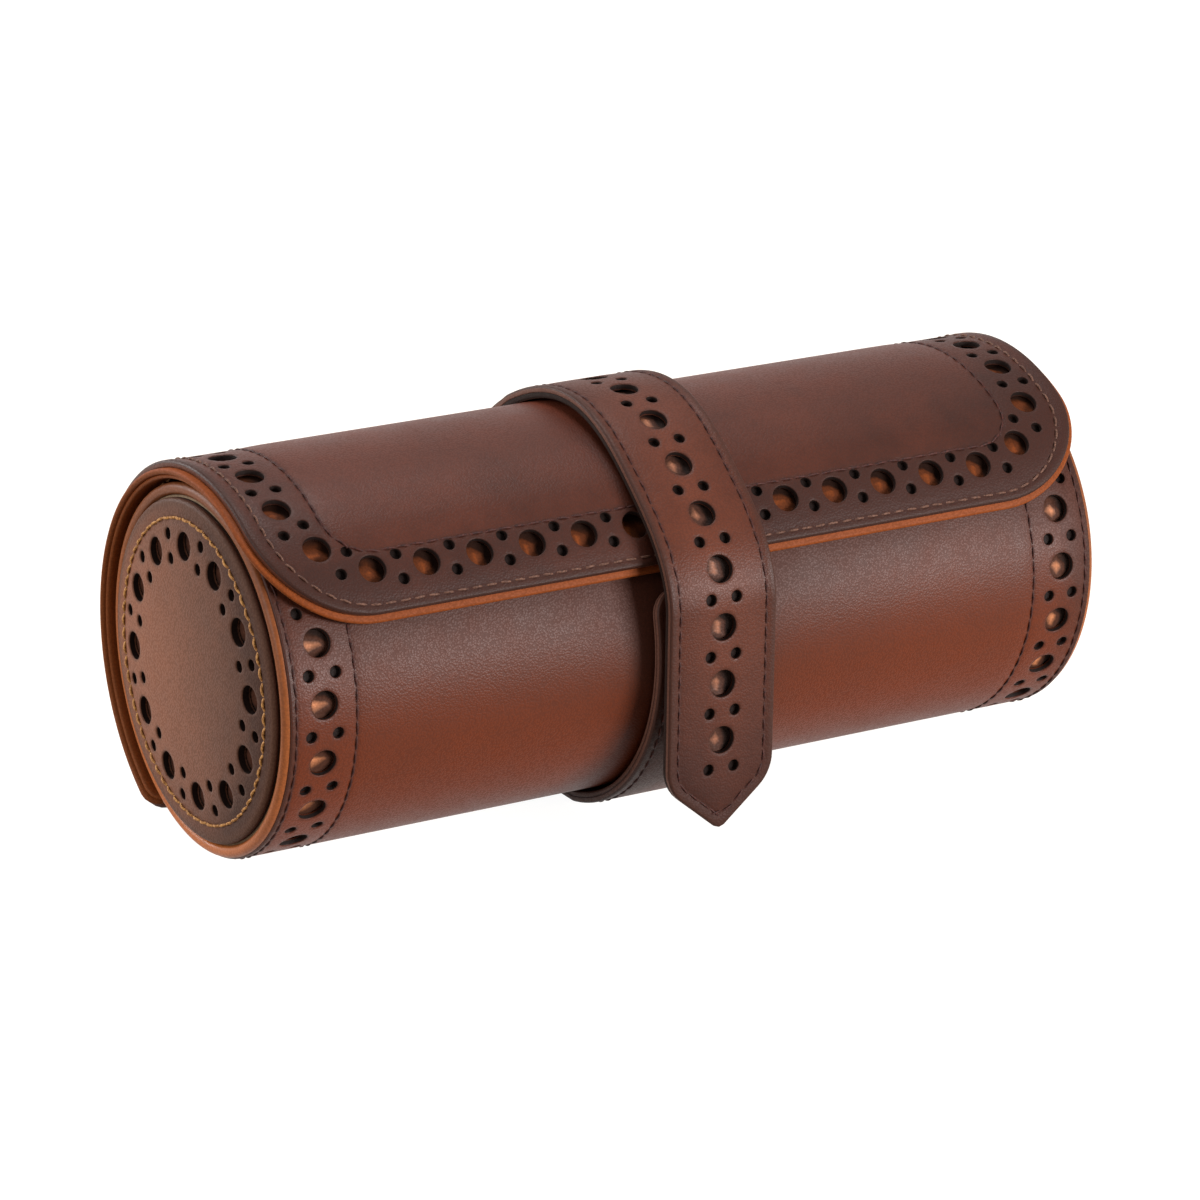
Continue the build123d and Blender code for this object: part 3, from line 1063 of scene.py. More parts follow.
                # On punch walls the hole mark falls below zero, so the walls are painted near-black: partly the
                # dyed cut, partly painted shade.
                wall = -depth if depth > rows[0][0] * 0.9 else 0.0
                ring_marks[:, 1 if number > len(self.windows) else 0] = wall + inset
                ring_rows.append((ring, lifted * max(0.0, 1 - depth / self.thickness) - depth, ring_marks))
                ids = list(range(total, total + size))
                total += size
                quads += self._strip(previous, ids, is_hole)
                previous = ids
            under_ids = [count + i for i in top_ids]
            under_flat[top_ids] = self._ring(cut, is_hole, rows[-1][0])
            quads += self._strip(previous, under_ids, is_hole)
        under_marks = marks.copy()
        under_marks[:, 0] = np.where(marks[:, 0] < 0.9, -self.thickness, marks[:, 0])
        layers.append((under_flat, np.full(count, -self.thickness), under_marks))
        layers += ring_rows
        polygons = [tuple(f) for f in faces] + [tuple(count + i for i in f[::-1]) for f in faces] + quads
        # A blind punch is closed near its bottom by a cap whose hole mark paints it near-black as shade.
        for hole in self.holes:
            if hole.blind:
                cap = circle((hole.across, hole.along), hole.radius + 0.05, hole.parts)
                depth = np.full(hole.parts, -self.thickness + 0.06)
                layers.append((cap, depth, np.tile([9.0, -1.0, 9.0], (hole.parts, 1))))
                polygons.append(tuple(range(total, total + hole.parts)))
                total += hole.parts
        flat_all = np.vstack([layer[0] for layer in layers])
        height_all = np.concatenate([layer[1] for layer in layers])
        marks_all = np.vstack([layer[2] for layer in layers])
        return self._mesh(flat_all, height_all, marks_all, polygons, count)

    @staticmethod
    def _strip(upper: Sequence[int], lower: Sequence[int], is_hole: bool) -> list[tuple[int, ...]]:
        """Faces between two rings of the same size.

        Args:
            upper: Points of the upper ring.
            lower: Points of the lower ring.
            is_hole: Whether the rings go round an opening.

        Returns:
            The faces.
        """
        size = len(upper)
        result = []
        for k in range(size):
            n = (k + 1) % size
            face = (upper[k], lower[k], lower[n], upper[n])
            result.append(face[::-1] if is_hole else face)
        return result

    def _height(self, flat: Array, marks: Array) -> Array:
        """Height of the top face: seams pressed in, and the panel's own relief.

        Args:
            flat: Flat points.
            marks: Distances to edge, hole and seam.

        Returns:
            Height at each point.
        """
        height = -self.groove * np.exp(-(marks[:, 2] / 0.65) ** 2)
        if self.relief is not None:
            height = height + self.relief(flat, marks)
        return height

    def _mesh(self, flat: Array, height: Array, marks: Array, polygons: list, count: int) -> bpy.types.Object:
        """Makes the mesh with its flat layout, marks and tone.

        Args:
            flat: Flat points: the top face's, the underside's, then the edges'.
            height: Height of each point.
            marks: Distances to edge, hole and seam.
            polygons: Faces.
            count: Number of points in the top face.

        Returns:
            The piece.
        """
        space = self.surface.lift(flat, height) * MM
        mesh = bpy.data.meshes.new(self.name)
        mesh.from_pydata(space.tolist(), [], polygons)
        put_vectors(mesh, "marks", marks)
        tone = self.tone(flat) if self.tone else np.full(len(flat), PLAIN_TONE)
        if self.under_tone is not None:
            tone[count:2 * count] = self.under_tone
        put_vectors(mesh, "tone", np.stack([tone] * 3, 1))
        layout = mesh.uv_layers.new(name="UVMap")
        corner_points = np.zeros(len(mesh.loops), np.int32)
        mesh.loops.foreach_get("vertex_index", corner_points)
        layout.data.foreach_set("uv", (flat[corner_points] * MM * 4).astype(np.float32).ravel())
        mesh.materials.append(dressed(self.finish))
        smoothed(mesh, sharp=55)
        mesh.validate()
        mesh.update()
        return new_object(self.name, mesh)


# Sewing
@dataclass(frozen=True)
class Stitching:
    """Geometry node tree that sews stitches along lines."""

    radius: float = 0.00025
    pitch: float = 0.0037
    share: float = 0.9
    sink: float = 0.00034

    def tree(self) -> bpy.types.NodeTree:
        """The tree, built once.

        Returns:
            The node tree.
        """
        old = bpy.data.node_groups.get("sewn_line")
        if old:
            return old
        tree = bpy.data.node_groups.new("sewn_line", "GeometryNodeTree")
        for label, kind in (("Lines", "NodeSocketGeometry"), ("Pitch", "NodeSocketFloat"),
                            ("Stitch Length", "NodeSocketFloat"), ("Thread Radius", "NodeSocketFloat"),
                            ("Sink", "NodeSocketFloat"), ("Seed", "NodeSocketInt"),
                            ("Thread", "NodeSocketMaterial")):
            tree.interface.new_socket(label, in_out="INPUT", socket_type=kind)
        tree.interface.new_socket("Stitches", in_out="OUTPUT", socket_type="NodeSocketGeometry")

        add = Graph(tree).node
        entry = add("NodeGroupInput", {}, {})
        get = entry.outputs
        curve = add("GeometryNodeMeshToCurve", {}, {"Mesh": get["Lines"]})
        even = add("GeometryNodeResampleCurve", {"mode": "LENGTH"},
                   {"Curve": curve.outputs[0], "Length": get["Pitch"]})
        out = add("GeometryNodeInputNamedAttribute", {"data_type": "FLOAT_VECTOR"}, {"Name": "out"})
        tangent = add("GeometryNodeInputTangent", {}, {})
        turn = add("FunctionNodeAxesToRotation", {"primary_axis": "Z", "secondary_axis": "X"},
                   {"Primary Axis": out.outputs[0], "Secondary Axis": tangent.outputs[0]})
        before, after, deep, high = (
            add("ShaderNodeMath", {"operation": "MULTIPLY"}, {0: get[label], 1: factor}).outputs[0]
            for label, factor in (("Stitch Length", -0.5), ("Stitch Length", 0.5), ("Sink", -1.0),
                                  ("Thread Radius", THREAD_RISE)))
        first = add("ShaderNodeCombineXYZ", {}, {"X": before, "Z": deep})
        crown = add("ShaderNodeCombineXYZ", {}, {"Z": high})
        last = add("ShaderNodeCombineXYZ", {}, {"X": after, "Z": deep})
        bow = add("GeometryNodeCurveQuadraticBezier", {},
                  {"Resolution": 6, "Start": first.outputs[0], "Middle": crown.outputs[0],
                   "End": last.outputs[0]})
        section = add("GeometryNodeCurvePrimitiveCircle", {}, {"Resolution": 6, "Radius": get["Thread Radius"]})
        stitch = add("GeometryNodeCurveToMesh", {}, {"Curve": bow.outputs[0],
                     "Profile Curve": section.outputs[0], "Fill Caps": True})
        lean = add("FunctionNodeRandomValue", {"data_type": "FLOAT"},
                   {"Min_001": -THREAD_LEAN, "Max_001": THREAD_LEAN, "Seed": get["Seed"]})
        tilt = add("FunctionNodeAxisAngleToRotation", {}, {"Axis": (0.0, 0.0, 1.0), "Angle": lean.outputs[1]})
        aimed = add("FunctionNodeRotateRotation", {"rotation_space": "LOCAL"},
                    {"Rotation": turn.outputs[0], "Rotate By": tilt.outputs[0]})
        row = add("GeometryNodeInstanceOnPoints", {}, {"Points": even.outputs[0],
                  "Instance": stitch.outputs[0], "Rotation": aimed.outputs[0]})
        real = add("GeometryNodeRealizeInstances", {}, {"Geometry": row.outputs[0]})
        smooth = add("GeometryNodeSetShadeSmooth", {}, {"Geometry": real.outputs[0]})
        dyed = add("GeometryNodeSetMaterial", {}, {"Geometry": smooth.outputs[0], "Material": get["Thread"]})
        add("NodeGroupOutput", {}, {0: dyed.outputs[0]})
        return tree

    def sew(self, name: str, surface: Surface, lines: Sequence[tuple[Array, bool]], finish: Finish,
            seed: int, height: float = 0.0) -> bpy.types.Object:
        """Sews stitches along flat lines laid on a surface.

        Args:
            name: Name of the threads' piece.
            surface: Surface of the leather.
            lines: Flat lines, each with whether it is closed.
            finish: Thread's finish.
            seed: Seed of the stitches' lean.
            height: Height of the thread over the surface, in millimetres.

        Returns:
            The threads as one plain mesh.
        """
        points, outs, edges = [], [], []
        for line, closed in lines:
            even = resampled(line, 0.8, closed)
            first = sum(len(p) for p in points)
            points.append(surface.lift(even, np.full(len(even), height)) * MM)
            outs.append(surface.outward(even))
            edges += [(first + k, first + k + 1) for k in range(len(even) - 1)]
            if closed:
                edges.append((first + len(even) - 1, first))
        mesh = bpy.data.meshes.new(name + "_lines")
        mesh.from_pydata(np.vstack(points).tolist(), edges, [])
        put_vectors(mesh, "out", np.vstack(outs))
        guide = new_object(name + "_guide", mesh)
        tree = self.tree()
        modifier = guide.modifiers.new("Sewing", "NODES")
        modifier.node_group = tree
        values = {"Pitch": self.pitch, "Stitch Length": self.pitch * self.share, "Thread Radius": self.radius,
                  "Sink": self.sink, "Seed": seed, "Thread": dressed(finish)}
        for item in tree.interface.items_tree:
            if item.in_out == "INPUT" and item.name in values:
                modifier[item.identifier] = values[item.name]
        made = evaluated(guide)
        made.name = name
        bpy.data.objects.remove(guide)
        if "out" in made.attributes:
            made.attributes.remove(made.attributes["out"])
        return new_object(name, made)


SEWING = Stitching()
DISC_SEWING = Stitching(radius=0.00034, pitch=0.0034, share=0.84)
FINE_SEWING = Stitching(radius=0.00024, pitch=0.0030)
EDGE_SEWING = Stitching(radius=0.00028, pitch=0.0036, share=0.72)


# Tube
@dataclass
class Tube:
    """Punched leather tube with its backing and its lining."""

    radius: float = BODY_RADIUS
    cover_thickness: float = 1.4
    cover_half: float = 106.6
    mouth_front: float = 80.0
    mouth_back: float = -172.0
    row_inset: float = 9.25
    seam_insets: Pair = (2.365, 17.2)
    seam_end: float = 3.0
    hole_pitch: float = 18.54
    first_hole: float = 60.9
    last_hole: float = -100.0
    pair_offset: float = 3.3
    lining_radius: float = 37.4
    lining_half: float = 103.0
    lining_thickness: float = 0.95
    lining_edges: Pair = (-171.5, 79.5)

    def _holes(self, surface: RollSurface) -> list[Hole]:
        """Punches of both end rows.

        Args:
            surface: Face of the cover.

        Returns:
            The punches.
        """
        holes = []
        row = BODY_HALF - self.row_inset
        angle = self.first_hole
        while angle > self.last_hole:
            for side in (-1, 1):
                holes.append(punch(side * row, surface.along(angle)))
                pair = surface.along(angle - self.hole_pitch / 2)
                for offset in (-self.pair_offset, self.pair_offset):
                    holes.append(pin(side * (row + offset), pair))
            angle -= self.hole_pitch
        return holes

    def _tone(self, flat: Array) -> Array:
        """Lighter low on the front and darker at the top under the flap and beside the strap, partly real burnish
        and partly painted shadow of the flap and the strap; a little lighter on the left end band, darker at the
        right end as painted shade, and darker towards the bottom.

        Args:
            flat: Flat points.

        Returns:
            Tone at each point.
        """
        angle = np.degrees(flat[:, 1] / self.radius)
        # Darker at the top under the flap: partly burnish, partly painted shadow of the flap.
        low = np.clip((24.0 - angle) / 62.0, 0.0, 1.0)
        tone = 0.02 + 0.98 * low ** 0.9
        # Darker beside the strap: partly burnish, partly painted shadow of the strap.
        gap = np.abs(flat[:, 0] - STRAP_CENTRE) - STRAP_HALF
        tone -= 0.45 * np.exp(-np.clip(gap, 0, None) / 9.0)
        band = np.clip((np.abs(flat[:, 0]) - 88.0) / 6.0, 0.0, 1.0)
        tone += 0.08 * band * (flat[:, 0] < 0)
        # Painted shade at the right end.
        tone -= 0.55 * np.clip((flat[:, 0] - 97.0) / 9.0, 0.0, 1.0)
        under = np.clip((-angle - 60.0) / 40.0, 0.0, 1.0)
        return tone - 0.25 * under

    def cover(self) -> None:
        """Cuts, punches and sews the tube's leather."""
        surface = RollSurface(self.radius)
        low, high = surface.along(self.mouth_back), surface.along(self.mouth_front)
        half = self.cover_half
        top = high - self.seam_end
        seams = []
        for side in (-1, 1):
            for inset in self.seam_insets:
                x = side * (BODY_HALF - inset)
                seams.append(resampled(np.array([[x, low + self.seam_end], [x, top]]), SEAM_STEP))
        seams.append(resampled(np.array([[-half + 6, top], [half - 6, top]]), SEAM_STEP))
        outline = oblong(-half, half, low, high, (2.0, 3.0), 1.5)
        panel = Panel("tube_cover", surface, self.cover_thickness, outline, Finish.BODY,
                      holes=self._holes(surface), seams=seams, spacing=2.6, edge_round=0.5, tone=self._tone)
        place_piece(panel.build(), ON_ROLL, ["body_cover"])
        threads = SEWING.sew("tube_threads", surface, [(s, False) for s in seams], Finish.THREAD, 11, -0.05)
        place_piece(threads, ON_ROLL)

    def lining(self) -> None:
        """Lays the suede lining in the tube."""
        surface = RollSurface(self.lining_radius, inward=True)
        low, high = (surface.along(edge) for edge in self.lining_edges)
        outline = oblong(-self.lining_half, self.lining_half, low, high, (1.0, 1.0), 2.5)
        panel = Panel("well_lining", surface, self.lining_thickness, outline, Finish.LINING, spacing=4.0,
                      edge_round=0.4, groove=0.0)
        place_piece(panel.build(), ON_ROLL, ["body_lining"])

    def backing(self) -> None:
        """Lays the tan leather behind the punched cover."""
        surface = RollSurface(self.radius - self.cover_thickness)
        low, high = surface.along(self.mouth_back), surface.along(self.mouth_front)
        dishes = middles(self._holes(RollSurface(self.radius)), surface.radius / self.radius)
        outline = oblong(-self.cover_half, self.cover_half, low, high, (0.5, 0.5), 2.5)
        panel = Panel("tube_backing", surface, 0.6, outline, Finish.TAN, spacing=2.2,
                      edge_round=0.2, groove=0.0, tone=lambda flat: painted_punch_shading(flat, dishes, 1.05),
                      relief=lambda flat, marks: dished(flat, dishes, 0.5))
        place_piece(panel.build(), ON_ROLL, ["body_backing"])

    def build(self) -> None:
        """Builds and dresses the tube."""
        self.cover()
        self.backing()
        self.lining()
        dress_nodes({"body_board": Finish.BOARD})


# Ends
@dataclass
class End:
    """One end of the roll: a turned lip and a punched, sewn disc."""

    side: int
    disc_radius: float = 39.3
    disc_start: float = 107.6
    disc_thickness: float = 1.5
    hole_count: int = 12
    hole_circle: float = 28.9
    pair_circles: Pair = (25.8, 31.4)
    first_hole: float = 5.3
    seam_radius: float = 34.9
    lip_parts: int = 220
    lip_middle: Pair = (106.7, 41.15)
    lip_size: Pair = (1.35, 1.4)

    @property
    def label(self) -> str:
        """Name of the end."""
        return "left" if self.side < 0 else "right"

    def _holes(self) -> list[Hole]:
        """Punches of the disc: a ring of large ones with a pair of small ones after each.

        Returns:
            The punches.
        """
        holes = []
        pitch = 360.0 / self.hole_count
        for number in range(self.hole_count):
            turn = math.radians(self.first_hole + number * pitch)
            across, up = -math.cos(turn) * self.side, math.sin(turn)
            holes.append(punch(across * self.hole_circle, up * self.hole_circle))
            turn += math.radians(pitch / 2)
            across, up = -math.cos(turn) * self.side, math.sin(turn)
            holes += [pin(across * radius, up * radius) for radius in self.pair_circles]
        return holes

    def _tone(self, flat: Array) -> Array:
        """Lighter to the back and darker to the front, partly real burnish and partly painted light and shade; a
        little darker to the top, and darker towards the rim.

        Args:
            flat: Flat points.

        Returns:
            Tone at each point.
        """
        radius = np.hypot(flat[:, 0], flat[:, 1])
        back = flat[:, 0] * self.side
        # Back to front gradient: partly burnish, partly painted light and shade.
        tone = 0.6 + back / 58.0 - 0.1 * np.clip(flat[:, 1] / 39.0, 0, 1)
        return tone - 0.3 * np.clip((radius - 27.0) / 9.0, 0, 1)

    def disc(self) -> None:
        """Cuts, punches and sews the disc."""
        surface = EndSurface(self.side, self.disc_start + self.disc_thickness)
        seam = circle((0.0, 0.0), self.seam_radius, 160)

        def crown(flat: Array, marks: Array) -> Array:
            """The disc swells a little inside its seam and falls away to its edge."""
            radius = np.hypot(flat[:, 0], flat[:, 1])
            return 0.9 * np.clip(1 - (radius / 34.4) ** 4, 0, 1) - 0.25 * np.clip((radius - 36.0) / 3.3, 0, 1) ** 2

        panel = Panel(f"end_disc_leather_{self.label}", surface, self.disc_thickness,
                      circle((0.0, 0.0), self.disc_radius, 200), Finish.DISC, holes=self._holes(),
                      seams=[returned(seam)], spacing=2.4, edge_round=1.1, tone=self._tone,
                      relief=crown, groove=0.22)
        place_piece(panel.build(), ON_ROLL, [f"end_disc_{self.label}"])
        threads = DISC_SEWING.sew(f"end_disc_threads_{self.label}", surface, [(seam, True)],
                                  Finish.GOLD_THREAD, 21, 0.02)
        place_piece(threads, ON_ROLL)
        dishes = middles(self._holes())
        backing = Panel(f"end_backing_leather_{self.label}", EndSurface(self.side, self.disc_start), 0.58,
                        circle((0.0, 0.0), self.disc_radius - 0.05, 120), Finish.TAN, spacing=2.0, edge_round=0.15,
                        groove=0.0, tone=lambda flat: painted_punch_shading(flat, dishes, 0.1),
                        relief=lambda flat, marks: dished(flat, dishes, 0.5))
        place_piece(backing.build(), ON_ROLL, [f"end_backing_{self.label}"])

    def lip(self) -> None:
        """Turns the tan leather edge of the tube."""
        outline = [(99.0, 39.7), (106.9, 39.7)]
        (centre_x, centre_r), (rise, half_r) = self.lip_middle, self.lip_size
        for k in range(13):
            turn = math.pi * (1 - k / 12)
            outline.append((centre_x + rise * math.sin(turn), centre_r + half_r * math.cos(turn)))
        outline += [(106.55, 41.55), (106.3, 41.0), (99.3, 41.0), (99.0, 40.7)]
        parts, size = self.lip_parts, len(outline)
        vertices, faces = [], []
        for step in range(parts):
            turn = 2 * math.pi * step / parts
            for x, radius in outline:
                vertices.append((self.side * x * MM, -math.cos(turn) * radius * MM,
                                 (AXIS_HEIGHT + math.sin(turn) * radius) * MM))
            here, after = step * size, (step + 1) % parts * size
            for k in range(size):
                n = (k + 1) % size
                faces.append((here + k, here + n, after + n, after + k))
        mesh = bpy.data.meshes.new(f"end_lip_{self.label}")
        mesh.from_pydata(vertices, [], faces)
        put_vectors(mesh, "marks", np.full((len(vertices), 3), 6.0))
        angle = np.radians(np.repeat(np.arange(parts) * 360.0 / parts, size))
        # Painted light and shade: the lip is lighter towards the bottom, where it faces down, and darker at the top
        # under the flap.
        tone = 0.55 - 0.1 * np.cos(angle) - 0.4 * np.sin(angle)
        put_vectors(mesh, "tone", np.stack([tone] * 3, 1))
        mesh.materials.append(dressed(Finish.LIP))
        recalculated(mesh)
        smoothed(mesh, sharp=50)
        piece = new_object(f"end_lip_{self.label}", mesh)
        place_piece(piece, ON_ROLL, [f"end_ring_{self.label}"])

    def build(self) -> None:
        """Builds and dresses the end."""
        self.disc()
        self.lip()
        dress_nodes({f"end_board_{self.label}": Finish.BOARD, f"end_lining_{self.label}": Finish.LINING})


# Wrap
@dataclass
class Wrap:
    """Flap and the panel behind it: dark cover, tan border and lining, as one wrap over the hinge."""

    half: float = 110.1
    front: float = 26.0
    rear: float = 241.0
    rim: float = 1.7
    cover_radius: float = WRAP_RADIUS
    cover_thickness: float = 1.5
    border_radius: float = 46.0
    border_thickness: float = 1.35
    border_width: float = 18.0
    lining_radius: float = 44.65
    lining_thickness: float = 1.0
    corner: float = 27.0
    rear_corner: float = 4.0
    board_end: float = 183.3
    seam_fronts: Pair = (45.5, 30.6)
    seam_halves: Pair = (2.1 * BODY_RADIUS, 2.425 * BODY_RADIUS)
    hole_inset: float = 11.6
    hole_corner: float = 20.0
    hole_pitch: float = 13.37
    hole_start: float = -2.6
    pair_offset: float = 3.0

    def _outline(self, surface: RollSurface, inset: float, step: float) -> Array:
        """Outline of one layer, laid flat.

        Args:
            surface: Face of the layer.
            inset: Distance inside the wrap's edges.
            step: Distance between points.

        Returns:
            Points of the outline.
        """
        front = surface.along(self.front) + inset * surface.radius / self.cover_radius
        rear = surface.along(self.rear)
        half = self.half - inset
        return oblong(-half, half, front, rear, (self.corner - inset, self.rear_corner), step)

    def _holes(self, surface: RollSurface) -> list[Hole]:
        """Punches along the flap's edges.

        Args:
            surface: Face of the cover.

        Returns:
            The punches.
        """
        straight = self.half - self.hole_inset - self.hole_corner
        corner_length = self.hole_corner * math.pi / 2
        front = surface.along(self.front) + self.hole_inset
        side_length = surface.along(HINGE_ANGLE) - front - self.hole_corner - self.hole_inset
        total = straight + corner_length + side_length
        half_pitch = self.hole_pitch / 2
        first = -math.ceil((total - half_pitch + self.hole_start) / half_pitch)
        holes = []
        for number in range(first, -first):
            length = self.hole_start + number * half_pitch
            if abs(length) > total:
                continue
            side = 1 if length > 0 else -1
            past = abs(length) - straight
            if past <= 0:
                x, up, turn = length, 0.0, 0.0
            elif past < corner_length:
                turn = past / self.hole_corner
                x = side * (straight + self.hole_corner * math.sin(turn))
                up = self.hole_corner * (1 - math.cos(turn))
            else:
                turn = math.pi / 2
                x = side * (straight + self.hole_corner)
                up = self.hole_corner + past - corner_length
            if number % 2 == 0:
                holes.append(punch(x, front + up))
                continue
            for offset in (-self.pair_offset, self.pair_offset):
                holes.append(pin(x + offset * math.sin(side * turn), front + up - offset * math.cos(turn)))
        return holes

    def _seams(self, surface: RollSurface) -> tuple[Array, Array]:
        """Seam lines, laid flat: each runs up one side, round the front, down the other and back.

        Args:
            surface: Face of the cover.

        Returns:
            The inner and the outer line.
        """
        rear = surface.along(self.rear) - self.rear_corner
        front_in, front_out = (surface.along(angle) for angle in self.seam_fronts)
        half_in, half_out = self.seam_halves
        inner = oblong(-half_in, half_in, front_in, rear, (10.0, 6.0), SEAM_STEP)
        outer = oblong(-half_out, half_out, front_out, rear + 1.0, (22.0, 3.0), SEAM_STEP)
        return returned(inner), returned(outer)

    def _tone(self, flat: Array) -> Array:
        """Lighter over the top and darker at the back, colder in the punched border, and darker on the right side
        and on the front as painted shade.

        Args:
            flat: Flat points.

        Returns:
            Tone at each point.
        """
        angle = np.degrees(flat[:, 1] / self.cover_radius)
        tone = 0.3 + 0.3 * np.clip((angle - 70.0) / 30.0, 0, 1) - 0.15 * np.clip((angle - 150.0) / 40.0, 0, 1)
        field_edge = np.clip((np.abs(flat[:, 0]) - 88.3) / 4.0, 0, 1)
        border = np.maximum(field_edge, np.clip((47.0 - angle) / 3.0, 0, 1))
        # Painted shade: darker to the right and on the front below 66 degrees.
        right = np.clip((flat[:, 0] - 20.0) / 60.0, 0, 1)
        return tone - 0.16 * border - 0.12 * right - 0.1 * np.clip((66.0 - angle) / 12.0, 0, 1)

    def cover(self) -> None:
        """Cuts, punches and sews the dark cover."""
        surface = RollSurface(self.cover_radius)
        outline = self._outline(surface, self.rim, 1.4)
        inner, outer = self._seams(surface)

        def swell(flat: Array, marks: Array) -> Array:
            """The middle field is fuller, and the edge outside its seam is turned over."""
            turned = np.exp(-((marks[:, 0] - 1.3) / 1.0) ** 2)
            return 0.22 * (np.clip(marks[:, 2] / 6.0, 0, 1) * (marks[:, 0] > 18.5)) + 0.22 * turned

        panel = Panel("wrap_cover", surface, self.cover_thickness, outline, Finish.DARK,
                      holes=self._holes(surface), seams=[inner, outer], spacing=2.4, edge_round=0.7,
                      tone=self._tone, relief=swell, groove=0.24)
        place_piece(panel.build(), OVER_HINGE, ["flap_cover", "rear_cover"])
        threads = SEWING.sew("wrap_threads", surface, [(inner, False)], Finish.THREAD, 31, -0.06)
        place_piece(threads, OVER_HINGE)
        threads = EDGE_SEWING.sew("wrap_edge_threads", surface, [(outer, False)], Finish.WORN_THREAD, 32, -0.02)
        place_piece(threads, OVER_HINGE)

    def border(self) -> None:
        """Cuts the tan border with its rounded rim."""
        surface = RollSurface(self.border_radius)
        outline = self._outline(surface, 0.0, 1.4)
        low = surface.along(self.front) + self.border_width
        high = surface.along(self.board_end + 0.5)
        half = self.half - self.border_width
        window = oblong(-half, half, low, high, (9.0, 1.0), 2.0)
        dishes = middles(self._holes(RollSurface(self.cover_radius)), self.border_radius / self.cover_radius)

        def rim_tone(flat: Array) -> Array:
            """Light along the rim; under the cover, painted light and shade in each punch."""
            under = inside(flat, moved_out(outline, -3.0))
            return np.where(under, painted_punch_shading(flat, dishes, 0.45), 0.7)

        panel = Panel("wrap_border", surface, self.border_thickness, outline, Finish.RIM, windows=[window],
                      spacing=2.1, edge_round=0.66, under_round=0.6, tone=rim_tone, groove=0.0,
                      under_tone=0.5, relief=lambda flat, marks: dished(flat, dishes, 0.95))
        place_piece(panel.build(), OVER_HINGE, ["flap_border", "rear_lining"])
        half, low, high = half - 0.3, low + 0.3, surface.along(self.board_end)
        board = Panel("flap_stiff_board", surface, self.border_thickness - 0.05,
                      oblong(-half, half, low, high, (8.7, 3.0), 2.5), Finish.BOARD, spacing=6.0, edge_round=0.2,
                      groove=0.0, relief=lambda flat, marks: np.full(len(flat), -0.03))
        place_piece(board.build(), Hold("flap"), ["flap_board"])

    def lining(self) -> None:
        """Cuts the lining of the flap and the leather under the rear panel."""
        surface = RollSurface(self.lining_radius)
        outline = self._outline(surface, 0.9, 1.8)
        panel = Panel("wrap_lining", surface, self.lining_thickness, outline, Finish.RIM, spacing=2.7,
                      edge_round=0.45, under_round=0.45, groove=0.0)
        place_piece(panel.build(), OVER_HINGE, ["flap_lining"])
        inside_face = RollSurface(self.lining_radius - self.lining_thickness, inward=True)
        scale = inside_face.radius / self.cover_radius
        high = inside_face.along(HINGE_ANGLE - 8.0)
        lines = []
        for seam in self._seams(RollSurface(self.cover_radius)):
            line = seam * np.array([-1.0, scale])
            line = line[line[:, 1] < high]
            turn = int(np.argmax(np.linalg.norm(np.diff(line, axis=0), axis=1))) + 1
            lines.append((np.roll(line, -turn, axis=0), False))
        threads = SEWING.sew("wrap_lining_threads", inside_face, lines, Finish.PALE_THREAD, 33, 0.12)
        place_piece(threads, OVER_HINGE)

    def build(self) -> None:
        """Builds and dresses the wrap."""
        self.cover()
        self.border()
        self.lining()


# Belt
def clamped_curve(points: Array, first: Array, last: Array, parts: int) -> Array:
    """Smooth line through points with set end directions.

    Args:
        points: Points of the line.
        first: Direction at its start.
        last: Direction at its end.
        parts: Steps in each span.

    Returns:
        Points of the smooth line.
    """
    gaps = np.linalg.norm(np.diff(points, axis=0), axis=1)
    count = len(points)
    matrix = np.zeros((count, count))
    right = np.zeros((count, points.shape[1]))
    matrix[0, 0] = matrix[-1, -1] = 1.0
    right[0], right[-1] = first, last
    for k in range(1, count - 1):
        before, after = gaps[k - 1], gaps[k]
        matrix[k, k - 1], matrix[k, k], matrix[k, k + 1] = after, 2 * (before + after), before
        right[k] = 3 * (before * (points[k + 1] - points[k]) / after + after * (points[k] - points[k - 1]) / before)
    slopes = np.linalg.solve(matrix, right)
    rows = []
    for k in range(count - 1):
        for step in range(parts):
            t = step / parts
            rows.append((2 * t**3 - 3 * t**2 + 1) * points[k] + (t**3 - 2 * t**2 + t) * gaps[k] * slopes[k]
                        + (3 * t**2 - 2 * t**3) * points[k + 1] + (t**3 - t**2) * gaps[k] * slopes[k + 1])
    rows.append(points[-1])
    return np.array(rows)


def round_axis(radius: float, degrees: float) -> Array:
    """Point in the YZ plane at a radius and an angle."""
    turn = math.radians(degrees)
    return np.array([-math.cos(turn) * radius, AXIS_HEIGHT + math.sin(turn) * radius])


